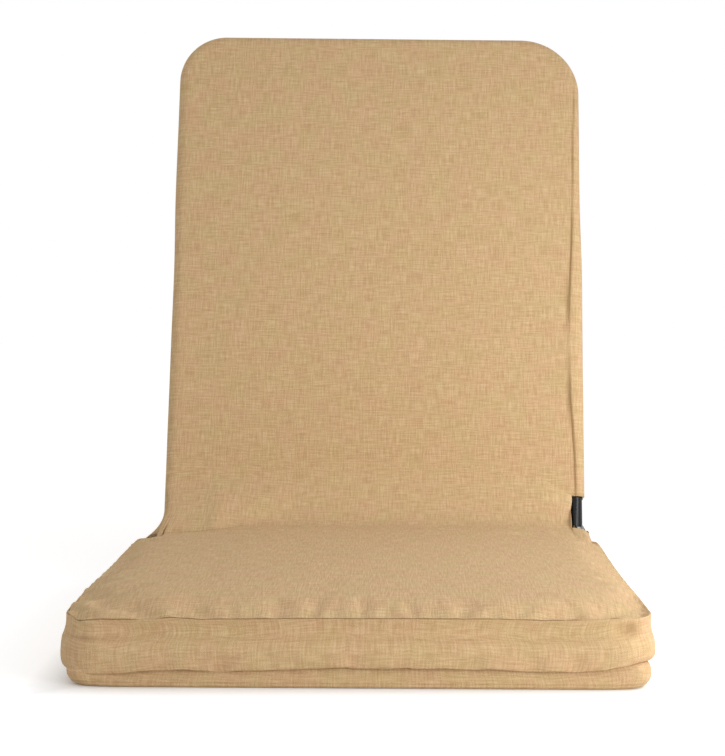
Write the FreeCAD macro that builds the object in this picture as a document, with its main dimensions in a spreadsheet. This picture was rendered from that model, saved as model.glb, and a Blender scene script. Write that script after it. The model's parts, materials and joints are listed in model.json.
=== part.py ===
import FreeCAD, Part
import Sketcher
import math
import os
from types import SimpleNamespace
from FreeCAD import Placement, Rotation, Vector

# Folding floor chair: a slim padded back on two ratchet hinges, a boxed seat cushion on a flat base.
# Millimetres, +Z up, the back towards +Y, +X to the right as seen from the front.
# The origin is on the floor, in the middle of the base.

document = FreeCAD.newDocument("folding_floor_chair")
sheet = document.addObject("Spreadsheet::Sheet", "sizes")

driving_sizes = [
    ("frame_width", 408.0, "both tube frames, outside to outside"),
    ("tube_diameter", 16.0, "steel tube, outside"),
    ("tube_wall", 1.2, "steel tube wall"),
    ("cross_diameter", 12.0, "cross tube, outside"),
    ("cross_wall", 1.0, "cross tube wall"),
    ("seat_bend", 28.0, "bend of the seat frame, on the tube's centre line"),
    ("back_bend", 48.0, "bend of the back frame, on the tube's centre line"),
    ("seat_tube_front", 187.0, "seat frame's front tube centre, ahead of the origin"),
    ("seat_tube_height", 10.0, "seat frame's centre above the floor"),
    ("pivot_setback", 195.0, "hinge axis behind the origin"),
    ("hinge_offset", 35.0, "hinge axis to the centre line of either frame's side tube"),
    ("back_length", 522.0, "hinge axis to the top of the back frame"),
    ("recline", 15.0, "back behind vertical, degrees"),
    ("tooth_pitch", 15.0, "one step of the ratchet, degrees"),
    ("tooth_count", 15, "teeth cut on the gear arm"),
    ("tooth_tip", 14.0, "radius of the tooth tips"),
    ("tooth_root", 11.6, "radius of the tooth roots"),
    ("tooth_foot", 1.0, "tooth sunk below its root, into the hub"),
    ("first_flank", 190.0, "angle of a locking flank about the hinge axis, degrees"),
    ("plate_thickness", 2.0, "hinge housing plate"),
    ("gear_thickness", 4.0, "gear arm and pawl"),
    ("hinge_play", 0.2, "gear arm to each housing plate"),
    ("housing_radius", 15.5, "housing plate round the hinge axis"),
    ("tube_entry", 14.0, "hinge axis to a side tube's end, along the tube"),
    ("tang_end", 66.0, "hinge axis to the inner end of a tang, along the tube"),
    ("tang_height", 10.0, "housing plate tang inside the seat tube"),
    ("gear_tang_height", 12.0, "gear arm tang inside the back tube"),
    ("pivot_diameter", 8.0, "pivot rivet shank"),
    ("pivot_head", 13.0, "pivot rivet head"),
    ("pivot_head_height", 1.8, "pivot rivet head, each side"),
    ("pin_diameter", 5.0, "pawl pin and spring post"),
    ("pin_head", 8.0, "pawl pin head"),
    ("pin_head_height", 1.0, "pawl pin head, each side"),
    ("pawl_ahead", 18.0, "pawl pin ahead of the hinge axis"),
    ("pawl_above", 9.0, "pawl pin above the hinge axis"),
    ("pawl_eye", 4.4, "radius of the pawl round its pin"),
    ("pawl_lift", 10.0, "pawl turned out of the teeth, degrees"),
    ("pawl_play", 2.2, "pawl's end short of the locking flank, degrees about the hinge axis"),
    ("pawl_end", 2.6, "pawl's end face beyond the tooth tips"),
    ("mesh_gap", 0.7, "pawl in mesh clear of the tooth roots and tips"),
    ("pawl_margin", 1.0, "housing plate outside the pawl's eye"),
    ("post_ahead", 22.0, "spring post ahead of the hinge axis"),
    ("post_below", 10.0, "spring post below the hinge axis"),
    ("post_margin", 2.0, "housing plate outside the spring post"),
    ("spring_thickness", 0.5, "leaf spring strip"),
    ("spring_off", 0.3, "leaf spring's tip off the pawl"),
    ("rivet_diameter", 4.0, "rivet through a side tube and its tang"),
    ("rivet_head", 7.0, "tube rivet head"),
    ("rivet_head_height", 1.0, "tube rivet head, each side"),
    ("rivet_first", 48.0, "hinge axis to the first tube rivet, along the tube"),
    ("rivet_spacing", 11.0, "between a pair of tube rivets"),
    ("running_gap", 0.05, "radial clearance of a pin or rivet in its hole"),
    ("webbing_width", 40.0, "elastic webbing"),
    ("webbing_thickness", 1.0, "elastic webbing"),
    ("seat_webbing_count", 4, "webbing loops round the seat frame"),
    ("seat_webbing_pitch", 62.0, "between the seat's webbing loops"),
    ("seat_webbing_first", 108.0, "first loop ahead of the origin"),
    ("back_webbing_count", 6, "webbing loops round the back frame"),
    ("back_webbing_pitch", 64.0, "between the back's webbing loops"),
    ("back_webbing_first", 118.0, "first loop above the hinge axis"),
    ("seat_cross_setback", 118.0, "seat cross tube behind the origin"),
    ("back_cross_height", 74.0, "back cross tube above the hinge axis"),
    ("fabric", 0.9, "woven cover fabric"),
    ("layer_gap", 0.1, "between layers that lie on each other"),
    ("back_ease", 0.5, "slack of the back cover beside the frame"),
    ("top_ease", 3.0, "slack of the back cover above the frame"),
    ("base_ease", 3.0, "slack of the base cover round the frame"),
    ("cover_edge", 9.0, "rounding of the covers' long edges"),
    ("pad_thickness", 2.0, "felt pad on the back's webbing"),
    ("pad_margin", 9.0, "back pad inside the side tubes' centre lines"),
    ("pad_bottom", 22.0, "back pad's lower edge above the hinge axis"),
    ("hem_height", 2.0, "back cover's hem above the hinge axis"),
    ("back_notch_inside", 7.0, "back cover's hinge notch, inside the side tube's centre line"),
    ("cut_inside", 11.0, "cushion and base clear of the hinges, inside the side tube's centre line"),
    ("notch_height", 47.0, "top of the back cover's notch above the hinge axis"),
    ("base_rear", 190.0, "base cover's rear wall behind the origin"),
    ("base_notch", 162.0, "start of the base cover's hinge notch behind the origin"),
    ("base_corner", 18.0, "base cover's front corners in plan"),
    ("rear_corner", 12.0, "base cover's rear corners in plan"),
    ("strip_width", 20.0, "hook and loop strips"),
    ("strip_length", 300.0, "hook and loop strips"),
    ("strip_thickness", 0.8, "hook or loop strip"),
    ("strip_spread", 120.0, "hook and loop strips, either side of the middle"),
    ("cushion_width", 430.0, "cushion at the bulge of its side band"),
    ("cushion_front", 210.0, "cushion front ahead of the origin"),
    ("cushion_corner", 26.0, "cushion corners in plan"),
    ("draw_in", 3.0, "how far the cushion's sides pull in between its corners"),
    ("side_band", 31.0, "cushion's underside to its top seam"),
    ("band_bulge", 9.0, "bulge of the cushion's side band past its underside"),
    ("crown", 12.0, "cushion's middle above its top seam"),
    ("nose_radius", 20.0, "cushion's rear edge, round the hinge axis"),
    ("cushion_cut_start", 162.0, "start of the cushion's hinge cut behind the origin"),
    ("link_thickness", 0.8, "fabric link between the back cover and the cushion"),
    ("link_gap", 0.3, "fabric link to the cushion's nose"),
    ("link_up", 42.0, "upper end of the fabric link about the hinge axis, degrees"),
    ("link_down", 40.0, "lower end of the fabric link about the hinge axis, degrees"),
    ("zip_margin", 38.9, "base cover's side to the end of the zip"),
    ("zip_width", 6.0, "zip chain"),
    ("zip_thickness", 1.4, "zip chain"),
    ("slider_length", 9.0, "zip slider along its travel"),
    ("slider_gap", 0.3, "zip slider round the chain"),
    ("slider_wall", 0.9, "zip slider plates"),
    ("arch_width", 1.6, "zip slider's arch, across the zip"),
    ("pull_length", 16.0, "zip pull"),
    ("pull_thickness", 1.0, "zip pull"),
]
for row, (alias, number, note) in enumerate(driving_sizes, start=1):
    sheet.set(f"A{row}", note)
    sheet.set(f"B{row}", str(number))
    sheet.setAlias(f"B{row}", alias)
document.recompute()
s = SimpleNamespace(**{alias: float(sheet.get(alias)) for alias, _, _ in driving_sizes})

# Places that several pieces share.
tube_radius = s.tube_diameter / 2
side_x = s.frame_width / 2 - tube_radius
pivot_height = s.seat_tube_height + s.hinge_offset
pivot = Vector(0, s.pivot_setback, pivot_height)
back_top = s.back_length - tube_radius
webbing_outside = tube_radius + s.webbing_thickness

# The back is drawn folded flat over the seat, with the hinge axis as its own origin, then turned up.
fold_angle = 90 + s.recline
seat_place = Placement()
hinge_place = Placement(pivot, Rotation())
back_place = Placement(pivot, Rotation(Vector(1, 0, 0), -fold_angle))

# Faces of the layers, outwards from the frames.
base_top = s.seat_tube_height + webbing_outside + 2 * s.layer_gap + s.fabric
hook_top = base_top + s.strip_thickness
cushion_bottom = hook_top + s.strip_thickness
seam_height = cushion_bottom + s.side_band
pad_near = s.hinge_offset - webbing_outside - s.layer_gap - s.pad_thickness
cover_near = pad_near - s.layer_gap - s.fabric
cover_far = s.hinge_offset + webbing_outside + s.layer_gap + s.fabric
back_half = s.frame_width / 2 + s.webbing_thickness + s.back_ease + s.fabric
base_half = s.frame_width / 2 + s.webbing_thickness + s.base_ease + s.fabric
base_front = s.seat_tube_front + tube_radius + s.base_ease + s.fabric
zip_half = base_half - s.zip_margin

nodes = []


def keep(piece, label):
    """A finished sub-part: its label names its file."""
    piece.Label = label
    nodes.append(piece)
    return piece


def new_body(name):
    return document.addObject("PartDesign::Body", name)


def origin_part(body, role):
    return next(item for item in body.Origin.OriginFeatures if item.Role == role)


def new_sketch(body, role, offset=0.0):
    """A sketch on one of the body's own origin planes, moved along the plane's normal."""
    drawn = body.newObject("Sketcher::SketchObject", body.Name + "_sketch")
    drawn.AttachmentSupport = [(origin_part(body, role), "")]
    drawn.MapMode = "FlatFace"
    drawn.AttachmentOffset = Placement(Vector(0, 0, offset), Rotation())
    return drawn


def add_circle(drawn, centre_x, centre_y, radius_expression):
    """A circle whose radius is bound to the sheet and whose centre is dimensioned from the origin."""
    index = drawn.addGeometry(Part.Circle(Vector(centre_x, centre_y, 0), Vector(0, 0, 1), 1.0), False)
    radius = drawn.addConstraint(Sketcher.Constraint("Radius", index, 1.0))
    drawn.setExpression(f"Constraints[{radius}]", radius_expression)
    drawn.addConstraint(Sketcher.Constraint("DistanceX", -1, 1, index, 3, centre_x))
    drawn.addConstraint(Sketcher.Constraint("DistanceY", -1, 1, index, 3, centre_y))


def add_loop(drawn, points):
    """A closed outline of straight lines through the points, held together at its corners."""
    first = len(drawn.Geometry)
    count = len(points)
    for number, start in enumerate(points):
        end = points[(number + 1) % count]
        drawn.addGeometry(Part.LineSegment(Vector(*start, 0), Vector(*end, 0)), False)
    for number in range(count):
        after = first + (number + 1) % count
        drawn.addConstraint(Sketcher.Constraint("Coincident", first + number, 2, after, 1))


def add_box(drawn, left, right, bottom, top):
    add_loop(drawn, [(left, bottom), (right, bottom), (right, top), (left, top)])


def add_hull(drawn, circles):
    """The outline that a tight band round the circles takes, for circles listed anticlockwise.

    Each pair of neighbours shares an outer tangent. Its normal leans from the line between the
    centres by the arc cosine of the difference of the radii over the distance.
    """
    count = len(circles)
    normals = []
    for number, (x, y, radius) in enumerate(circles):
        next_x, next_y, next_radius = circles[(number + 1) % count]
        away = math.hypot(next_x - x, next_y - y)
        heading = math.atan2(next_y - y, next_x - x)
        normals.append(heading - math.acos((radius - next_radius) / away))
    for number, (x, y, radius) in enumerate(circles):
        next_x, next_y, next_radius = circles[(number + 1) % count]
        turn = normals[number]
        side = Vector(math.cos(turn), math.sin(turn), 0)
        start = Vector(x, y, 0) + side * radius
        end = Vector(next_x, next_y, 0) + side * next_radius
        drawn.addGeometry(Part.LineSegment(start, end), False)
        before = normals[number - 1]
        while before > turn:
            before -= 2 * math.pi
        rim = Part.Circle(Vector(x, y, 0), Vector(0, 0, 1), radius)
        drawn.addGeometry(Part.ArcOfCircle(rim, before, turn), False)


def add_pad(body, drawn, length_expression, midplane=False):
    made = body.newObject("PartDesign::Pad", body.Name + "_pad")
    made.Profile = drawn
    made.Midplane = midplane
    made.setExpression("Length", length_expression)
    drawn.Visibility = False
    return made


def add_through_pocket(body, drawn):
    """A pocket right through the body, both ways from its sketch."""
    made = body.newObject("PartDesign::Pocket", body.Name + "_pocket")
    made.Profile = drawn
    made.Type = 1
    made.Midplane = True
    return made


def edges_that(shape, wanted):
    return [f"Edge{number}" for number, edge in enumerate(shape.Edges, start=1) if wanted(edge)]


def add_fillet(body, wanted, radius_expression):
    """Rounds the edges of the body's last feature that the test picks."""
    document.recompute()
    last = body.Tip
    made = body.newObject("PartDesign::Fillet", body.Name + "_fillet")
    made.Base = (last, edges_that(last.Shape, wanted))
    made.setExpression("Radius", radius_expression)
    return made


def upright(edge):
    start, end = edge.firstVertex().Point, edge.lastVertex().Point
    return abs(start.x - end.x) < 1e-6 and abs(start.y - end.y) < 1e-6


def level(edge):
    box = edge.BoundBox
    return box.ZLength < 1e-6


def group(label, pieces):
    """Identical pieces that share one node as separate solids."""
    made = document.addObject("Part::Compound", label)
    made.Links = pieces
    return keep(made, label)


def cut(label, base, tools):
    """The base with every tool taken away, as one sub-part."""
    tool = tools[0]
    if len(tools) > 1:
        tool = document.addObject("Part::MultiFuse", label + "_tools")
        tool.Shapes = tools
    made = document.addObject("Part::Cut", label)
    made.Base = base
    made.Tool = tool
    return keep(made, label)


def new_box(name, low, high, place=None):
    made = document.addObject("Part::Box", name)
    made.Length, made.Width, made.Height = (abs(b - a) for a, b in zip(low, high))
    corner = Placement(Vector(*(min(a, b) for a, b in zip(low, high))), Rotation())
    made.Placement = (place or seat_place) * corner
    return made


# Frames


def bent_frame(label, bend, height, front, entry, place):
    """A U of tube lying in a level plane: two side tubes, open towards +Y, and a closed front."""
    body = new_body(label)
    path = new_sketch(body, "XY_Plane", height)
    left_bend = Part.Circle(Vector(bend - side_x, bend - front, 0), Vector(0, 0, 1), bend)
    right_bend = Part.Circle(Vector(side_x - bend, bend - front, 0), Vector(0, 0, 1), bend)
    bend_start = bend - front
    straight = side_x - bend
    left_side = Part.LineSegment(Vector(-side_x, entry, 0), Vector(-side_x, bend_start, 0))
    front_run = Part.LineSegment(Vector(-straight, -front, 0), Vector(straight, -front, 0))
    right_side = Part.LineSegment(Vector(side_x, bend_start, 0), Vector(side_x, entry, 0))
    left_arc = Part.ArcOfCircle(left_bend, math.pi, 1.5 * math.pi)
    right_arc = Part.ArcOfCircle(right_bend, 1.5 * math.pi, 2 * math.pi)
    for run in (left_side, left_arc, front_run, right_arc, right_side):
        path.addGeometry(run, False)
    for kind, radius in (
        ("AdditivePipe", "sizes.tube_diameter / 2"),
        ("SubtractivePipe", "sizes.tube_diameter / 2 - sizes.tube_wall"),
    ):
        profile = new_sketch(body, "XZ_Plane", -entry)
        add_circle(profile, -side_x, height, radius)
        pipe = body.newObject("PartDesign::" + kind, label + "_pipe")
        pipe.Profile = profile
        pipe.Spine = (path, [f"Edge{number}" for number in range(1, 6)])
    holes = new_sketch(body, "YZ_Plane")
    for step in range(2):
        along = entry + s.tube_entry - s.rivet_first - step * s.rivet_spacing
        add_circle(holes, along, height, "sizes.rivet_diameter / 2 + sizes.running_gap")
    add_through_pocket(body, holes)
    body.Placement = place
    return keep(body, label)


def cross_tube(label, along, height, place):
    """A tube between the side tubes, its ends shaped to their round sides."""
    bar = new_body(label + "_bar")
    ring = new_sketch(bar, "YZ_Plane", -side_x)
    add_circle(ring, along, height, "sizes.cross_diameter / 2")
    add_circle(ring, along, height, "sizes.cross_diameter / 2 - sizes.cross_wall")
    add_pad(bar, ring, "sizes.frame_width - sizes.tube_diameter")
    bar.Placement = place
    sides = []
    for side in (-1, 1):
        coping = document.addObject("Part::Cylinder", label + "_coping")
        coping.setExpression("Radius", "sizes.tube_diameter / 2")
        coping.setExpression("Height", "2 * sizes.cross_diameter")
        foot = Vector(side * side_x, along + s.cross_diameter, height)
        coping.Placement = place * Placement(foot, Rotation(Vector(1, 0, 0), 90))
        sides.append(coping)
    return cut(label, bar, sides)


def webbing_loops(label, count, first, pitch, height, place):
    """Elastic loops stretched round both side tubes: a long band of two runs and two half turns."""
    loops = []
    for number in range(int(count)):
        loop = new_body(f"{label}_{number + 1}")
        band = new_sketch(loop, "XZ_Plane")
        for radius in (webbing_outside, tube_radius):
            add_hull(band, [(-side_x, height, radius), (side_x, height, radius)])
        add_pad(loop, band, "sizes.webbing_width", True)
        loop.Placement = place * Placement(Vector(0, first + number * pitch, 0), Rotation())
        loops.append(loop)
    return group(label, loops)


seat_entry = s.pivot_setback - s.tube_entry
bent_frame("seat_frame_tube", s.seat_bend, s.seat_tube_height, s.seat_tube_front, seat_entry, seat_place)
bent_frame("back_frame_tube", s.back_bend, s.hinge_offset, back_top, -s.tube_entry, back_place)
cross_tube("seat_cross_tube", s.seat_cross_setback, s.seat_tube_height, seat_place)
cross_tube("back_cross_tube", -s.back_cross_height, s.hinge_offset, back_place)
webbing_loops("seat_webbing", s.seat_webbing_count, -s.seat_webbing_first, s.seat_webbing_pitch,
              s.seat_tube_height, seat_place)
webbing_loops("back_webbing", s.back_webbing_count, -s.back_webbing_first, -s.back_webbing_pitch,
              s.hinge_offset, back_place)


# Ratchet hinges


def at_side(place, side, offset=0.0):
    """The same place, moved sideways to the left (-1) or right (1) hinge."""
    return place * Placement(Vector(side * side_x + offset, 0, 0), Rotation())


side_names = {-1: "left", 1: "right"}
plate_offset = s.gear_thickness / 2 + s.hinge_play + s.plate_thickness / 2
housing_half = plate_offset + s.plate_thickness / 2
pawl_pin = (-s.pawl_ahead, s.pawl_above)
spring_post = (-s.post_ahead, -s.post_below)


def link_outline(drawn, hub, offset, half_height):
    """From the hub at the hinge axis to the tube's mouth: a band round the hub and the tang's root."""
    add_hull(drawn, [(0, 0, hub), (tang_root(half_height), offset, half_height)])


def tang_root(half_height):
    """Where a tang starts: the round end of the link stays just outside the tube's mouth."""
    return half_height + s.layer_gap - s.tube_entry


def housing_plate(label, side, offset):
    """A pressed plate: a lobe that holds the pivot, the pawl pin and the post, and a tang."""
    body = new_body(label)
    half = s.tang_height / 2
    lobe = new_sketch(body, "YZ_Plane")
    post_lobe = (*spring_post, s.pin_diameter / 2 + s.post_margin)
    pin_lobe = (*pawl_pin, s.pawl_eye + s.pawl_margin)
    add_hull(lobe, [(0, 0, s.housing_radius), pin_lobe, post_lobe])
    add_pad(body, lobe, "sizes.plate_thickness", True)
    link = new_sketch(body, "YZ_Plane")
    link_outline(link, s.tooth_root, -s.hinge_offset, half)
    add_pad(body, link, "sizes.plate_thickness", True)
    tang = new_sketch(body, "YZ_Plane")
    add_box(tang, -s.tang_end, tang_root(half), -s.hinge_offset - half, -s.hinge_offset + half)
    add_pad(body, tang, "sizes.plate_thickness", True)
    holes = new_sketch(body, "YZ_Plane")
    add_circle(holes, 0, 0, "sizes.pivot_diameter / 2 + sizes.running_gap")
    for y, z in (pawl_pin, spring_post):
        add_circle(holes, y, z, "sizes.pin_diameter / 2 + sizes.running_gap")
    for step in range(2):
        add_circle(holes, -s.rivet_first - step * s.rivet_spacing, -s.hinge_offset,
                   "sizes.rivet_diameter / 2 + sizes.running_gap")
    add_through_pocket(body, holes)
    body.Placement = at_side(hinge_place, side, offset)
    return keep(body, label)


def gear_arm(label, side):
    """The back's hinge arm, drawn folded: a toothed head, a link up to the back tube and a tang."""
    body = new_body(label)
    half = s.gear_tang_height / 2
    link = new_sketch(body, "YZ_Plane")
    link_outline(link, s.tooth_root, s.hinge_offset, half)
    add_pad(body, link, "sizes.gear_thickness", True)
    tang = new_sketch(body, "YZ_Plane")
    add_box(tang, -s.tang_end, tang_root(half), s.hinge_offset - half, s.hinge_offset + half)
    add_pad(body, tang, "sizes.gear_thickness", True)

    # One tooth: a radial locking flank, a short land and a long slope down to the next root.
    def polar(radius, degrees):
        return (radius * math.cos(math.radians(degrees)), radius * math.sin(math.radians(degrees)))

    start = s.first_flank - s.tooth_pitch
    land = start + s.tooth_pitch / 5
    end = start + s.tooth_pitch
    under = s.tooth_root - s.tooth_foot
    tooth = new_sketch(body, "YZ_Plane")
    add_loop(tooth, [polar(under, start), polar(s.tooth_tip, start), polar(s.tooth_tip, land),
                     polar(s.tooth_root, end), polar(under, end)])
    single = add_pad(body, tooth, "sizes.gear_thickness", True)
    ring = body.newObject("PartDesign::PolarPattern", label + "_teeth")
    ring.Originals = [single]
    ring.Axis = (origin_part(body, "X_Axis"), [""])
    ring.setExpression("Angle", "sizes.tooth_pitch * (sizes.tooth_count - 1)")
    ring.setExpression("Occurrences", "sizes.tooth_count")
    body.Tip = ring
    holes = new_sketch(body, "YZ_Plane")
    add_circle(holes, 0, 0, "sizes.pivot_diameter / 2 + sizes.running_gap")
    for step in range(2):
        add_circle(holes, -s.rivet_first - step * s.rivet_spacing, s.hinge_offset,
                   "sizes.rivet_diameter / 2 + sizes.running_gap")
    add_through_pocket(body, holes)
    body.Placement = at_side(back_place, side)
    return keep(body, label)


def turned(point, centre, degrees):
    """The point, turned about the centre in the plane of the hinge plates."""
    cosine, sine = math.cos(math.radians(degrees)), math.sin(math.radians(degrees))
    y, z = point[0] - centre[0], point[1] - centre[1]
    return (centre[0] + cosine * y - sine * z, centre[1] + sine * y + cosine * z)


def pawl_outline():
    """The pawl's blade in mesh, then lifted: its end stands before a locking flank, its inner side
    follows the slope there, and its outer side runs back to the eye.
    """
    def about(centre, radius, degrees):
        angle = math.radians(degrees)
        return (centre[0] + radius * math.cos(angle), centre[1] + radius * math.sin(angle))

    axis = (0, 0)
    end_angle = s.first_flank - s.pawl_play
    heel_angle = s.first_flank - s.tooth_pitch * 0.8
    outer_side, inner_side = 196.0, 348.0
    meshed = [
        about(axis, s.tooth_root + s.mesh_gap, end_angle),
        about(axis, s.tooth_tip + s.pawl_end, end_angle),
        about(pawl_pin, s.pawl_eye, outer_side),
        about(pawl_pin, s.pawl_eye, inner_side),
        about(axis, s.tooth_tip + s.mesh_gap, heel_angle),
    ]
    return [turned(point, pawl_pin, -s.pawl_lift) for point in meshed]


def pawl(label, side):
    body = new_body(label)
    blade = new_sketch(body, "YZ_Plane")
    add_loop(blade, pawl_outline())
    add_pad(body, blade, "sizes.gear_thickness", True)
    eye = new_sketch(body, "YZ_Plane")
    add_circle(eye, *pawl_pin, "sizes.pawl_eye")
    add_pad(body, eye, "sizes.gear_thickness", True)
    hole = new_sketch(body, "YZ_Plane")
    add_circle(hole, *pawl_pin, "sizes.pin_diameter / 2 + sizes.running_gap")
    add_through_pocket(body, hole)
    body.Placement = at_side(hinge_place, side)
    return keep(body, label)


def pawl_spring(label, side):
    """A leaf hooked round the post, its free end just off the pawl's outer side.

    The leaf leaves the hook along a tangent, so its outer side passes the tip it aims at.
    """
    inner = s.pin_diameter / 2 + s.layer_gap
    outer = inner + s.spring_thickness
    corner, eye_side = pawl_outline()[1:3]
    share = 0.35
    post = Vector(0, *spring_post)
    tip = Vector(0, corner[0] + (eye_side[0] - corner[0]) * share - s.spring_off,
                 corner[1] + (eye_side[1] - corner[1]) * share)
    reach = tip - post
    leave = math.atan2(reach.z, reach.y) - math.acos(outer / reach.Length)
    radial = Vector(0, math.cos(leave), math.sin(leave))
    start = Vector(-s.gear_thickness / 2, 0, 0) + post
    along = Vector(s.gear_thickness, 0, 0)
    base = start + radial * outer
    run = tip - post - radial * outer
    across = radial * -s.spring_thickness
    leaf = Part.Face(Part.makePolygon([base, base + run, base + run + across, base + across, base]))
    hook = Part.makeCylinder(outer, s.gear_thickness, start, Vector(1, 0, 0))
    hook = hook.cut(Part.makeCylinder(inner, s.gear_thickness, start, Vector(1, 0, 0)))

    def rim(degrees):
        angle = leave + math.radians(degrees)
        return start + Vector(0, math.cos(angle), math.sin(angle)) * (3 * outer)

    mouth = Part.Face(Part.makePolygon([start, rim(10), rim(80), start]))
    strip = hook.cut(mouth.extrude(along)).fuse(leaf.extrude(along)).removeSplitter()
    made = document.addObject("Part::Feature", label)
    made.Shape = strip
    made.Placement = at_side(hinge_place, side)
    return keep(made, label)


def headed_pin(name, diameter, grip, head, head_height):
    """A pin along X with a flat head at each end, turned from a half section."""
    body = new_body(name)
    half, shank, rim = grip / 2, diameter / 2, head / 2
    end, slope = half + head_height, head_height / 2
    section = new_sketch(body, "XZ_Plane")
    add_loop(section, [
        (-end, 0), (end, 0), (end, rim - slope), (end - slope, rim), (half, rim), (half, shank),
        (-half, shank), (-half, rim), (slope - end, rim), (-end, rim - slope),
    ])
    turning = body.newObject("PartDesign::Revolution", name + "_turning")
    turning.Profile = section
    turning.ReferenceAxis = (origin_part(body, "X_Axis"), [""])
    turning.Angle = 360
    return body


def placed(body, place):
    body.Placement = place
    return body


def point_place(place, side, y, z):
    return at_side(place, side) * Placement(Vector(0, y, z), Rotation())


plate_grip = 2 * housing_half
for side, name in side_names.items():
    housing_plate(f"hinge_outer_plate_{name}", side, side * plate_offset)
    housing_plate(f"hinge_inner_plate_{name}", side, -side * plate_offset)
    gear_arm(f"hinge_gear_arm_{name}", side)
    pawl(f"pawl_{name}", side)
    pawl_spring(f"pawl_spring_{name}", side)
    pivot_rivet = headed_pin(f"hinge_pivot_rivet_{name}", s.pivot_diameter, plate_grip,
                             s.pivot_head, s.pivot_head_height)
    keep(placed(pivot_rivet, at_side(hinge_place, side)), f"hinge_pivot_rivet_{name}")
    pin = headed_pin(f"pawl_pin_{name}", s.pin_diameter, plate_grip, s.pin_head, s.pin_head_height)
    keep(placed(pin, point_place(hinge_place, side, *pawl_pin)), f"pawl_pin_{name}")

posts, seat_rivets, back_rivets, spacers = [], [], [], []
for side, name in side_names.items():
    post = headed_pin(f"spring_post_{name}", s.pin_diameter, plate_grip, s.pin_head, s.pin_head_height)
    posts.append(placed(post, point_place(hinge_place, side, *spring_post)))
    for step in range(2):
        along = -s.rivet_first - step * s.rivet_spacing
        for rivets, place, height in (
            (seat_rivets, hinge_place, -s.hinge_offset),
            (back_rivets, back_place, s.hinge_offset),
        ):
            rivet = headed_pin(f"tube_rivet_{name}_{step + 1}", s.rivet_diameter, s.tube_diameter,
                               s.rivet_head, s.rivet_head_height)
            rivets.append(placed(rivet, point_place(place, side, along, height)))
    spacer = new_body(f"tang_spacer_{name}")
    bar = new_sketch(spacer, "YZ_Plane")
    half = s.tang_height / 2
    add_box(bar, -s.tang_end, s.rivet_spacing - s.rivet_first,
            -s.hinge_offset - half, -s.hinge_offset + half)
    add_pad(spacer, bar, "sizes.gear_thickness + 2 * sizes.hinge_play", True)
    holes = new_sketch(spacer, "YZ_Plane")
    for step in range(2):
        add_circle(holes, -s.rivet_first - step * s.rivet_spacing, -s.hinge_offset,
                   "sizes.rivet_diameter / 2 + sizes.running_gap")
    add_through_pocket(spacer, holes)
    spacers.append(placed(spacer, at_side(hinge_place, side)))
group("spring_posts", posts)
group("seat_tube_rivets", seat_rivets)
group("back_tube_rivets", back_rivets)
group("tang_spacers", spacers)


# Covers and pads


def slab(name, plan, levels, radii, place):
    """A flat soft body: a rectangle in plan with rounded corners, and round long edges.

    The plan is half its width, then where it starts and ends along Y. The levels are its underside
    and top. The radii are expressions for the near corners, the far corners and the long edges.
    With no far radius that end is open, and stays square.
    """
    half_width, near, far = plan
    low, high = levels
    near_radius, far_radius, edge_radius = radii
    body = new_body(name)
    outline = new_sketch(body, "XY_Plane", low)
    add_box(outline, -half_width, half_width, near, far)
    add_pad(body, outline, str(high - low))

    def corner_at(end):
        return lambda edge: upright(edge) and abs(edge.CenterOfMass.y - end) < 1e-6

    def long_edge(edge):
        open_end = not far_radius and abs(edge.BoundBox.YMin - far) < 1e-6
        return level(edge) and not open_end

    add_fillet(body, corner_at(near), near_radius)
    if far_radius:
        add_fillet(body, corner_at(far), far_radius)
    if edge_radius:
        add_fillet(body, long_edge, edge_radius)
    body.Placement = place
    return body


def sleeve(label, plan, levels, radii, place, notches):
    """A fabric bag: the outer form less the same form one fabric thickness inside it."""
    half_width, near, far = plan
    low, high = levels
    inside_far = far - s.fabric if radii[1] else far + s.fabric
    inside_plan = (half_width - s.fabric, near + s.fabric, inside_far)
    inside_radii = [radius and radius + " - sizes.fabric" for radius in radii]
    outer = slab(label + "_outside", plan, levels, radii, place)
    inner = slab(label + "_inside", inside_plan, (low + s.fabric, high - s.fabric), inside_radii, place)
    return cut(label, outer, [inner, *notches])


def hinge_notches(label, inside, half_width, run, levels, place):
    """Boxes that take the cover away round both hinges, from inside the side tubes outwards."""
    start, end = run
    low, high = levels
    inner, outer = side_x - inside, half_width + s.fabric
    return [
        new_box(f"{label}_notch", (side * inner, start, low), (side * outer, end, high), place)
        for side in side_names
    ]


back_notches = hinge_notches(
    "back_cover", s.back_notch_inside, back_half, (-s.notch_height, s.fabric - s.hem_height),
    (cover_near - s.fabric, cover_far - s.fabric), back_place)
sleeve(
    "back_cover", (back_half, -s.back_length - s.top_ease - s.fabric, -s.hem_height),
    (cover_near, cover_far),
    ("sizes.back_bend + sizes.tube_diameter / 2 + sizes.top_ease", "", "sizes.cover_edge"),
    back_place, back_notches)

base_notches = hinge_notches(
    "base_cover", s.cut_inside, base_half, (s.base_notch, s.base_rear + s.fabric),
    (s.fabric, base_top + s.fabric), seat_place)
sleeve(
    "base_cover", (base_half, -base_front, s.base_rear), (0, base_top),
    ("sizes.base_corner", "sizes.rear_corner", "sizes.cover_edge"), seat_place, base_notches)

pad_plan = (side_x - s.pad_margin, -back_top, -s.pad_bottom)
back_pad = slab("back_pad", pad_plan, (pad_near, pad_near + s.pad_thickness),
                ("sizes.back_bend", "", ""), back_place)
keep(back_pad, "back_pad")

hooks, loops = [], []
for side in side_names:
    for strips, name, low in ((hooks, "hook", base_top), (loops, "loop", hook_top)):
        left = side * s.strip_spread - s.strip_width / 2
        strips.append(new_box(f"{name}_strip", (left, -s.strip_length / 2, low),
                              (left + s.strip_width, s.strip_length / 2, low + s.strip_thickness)))
group("hook_strips", hooks)
group("loop_strips", loops)


# Seat cushion


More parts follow.
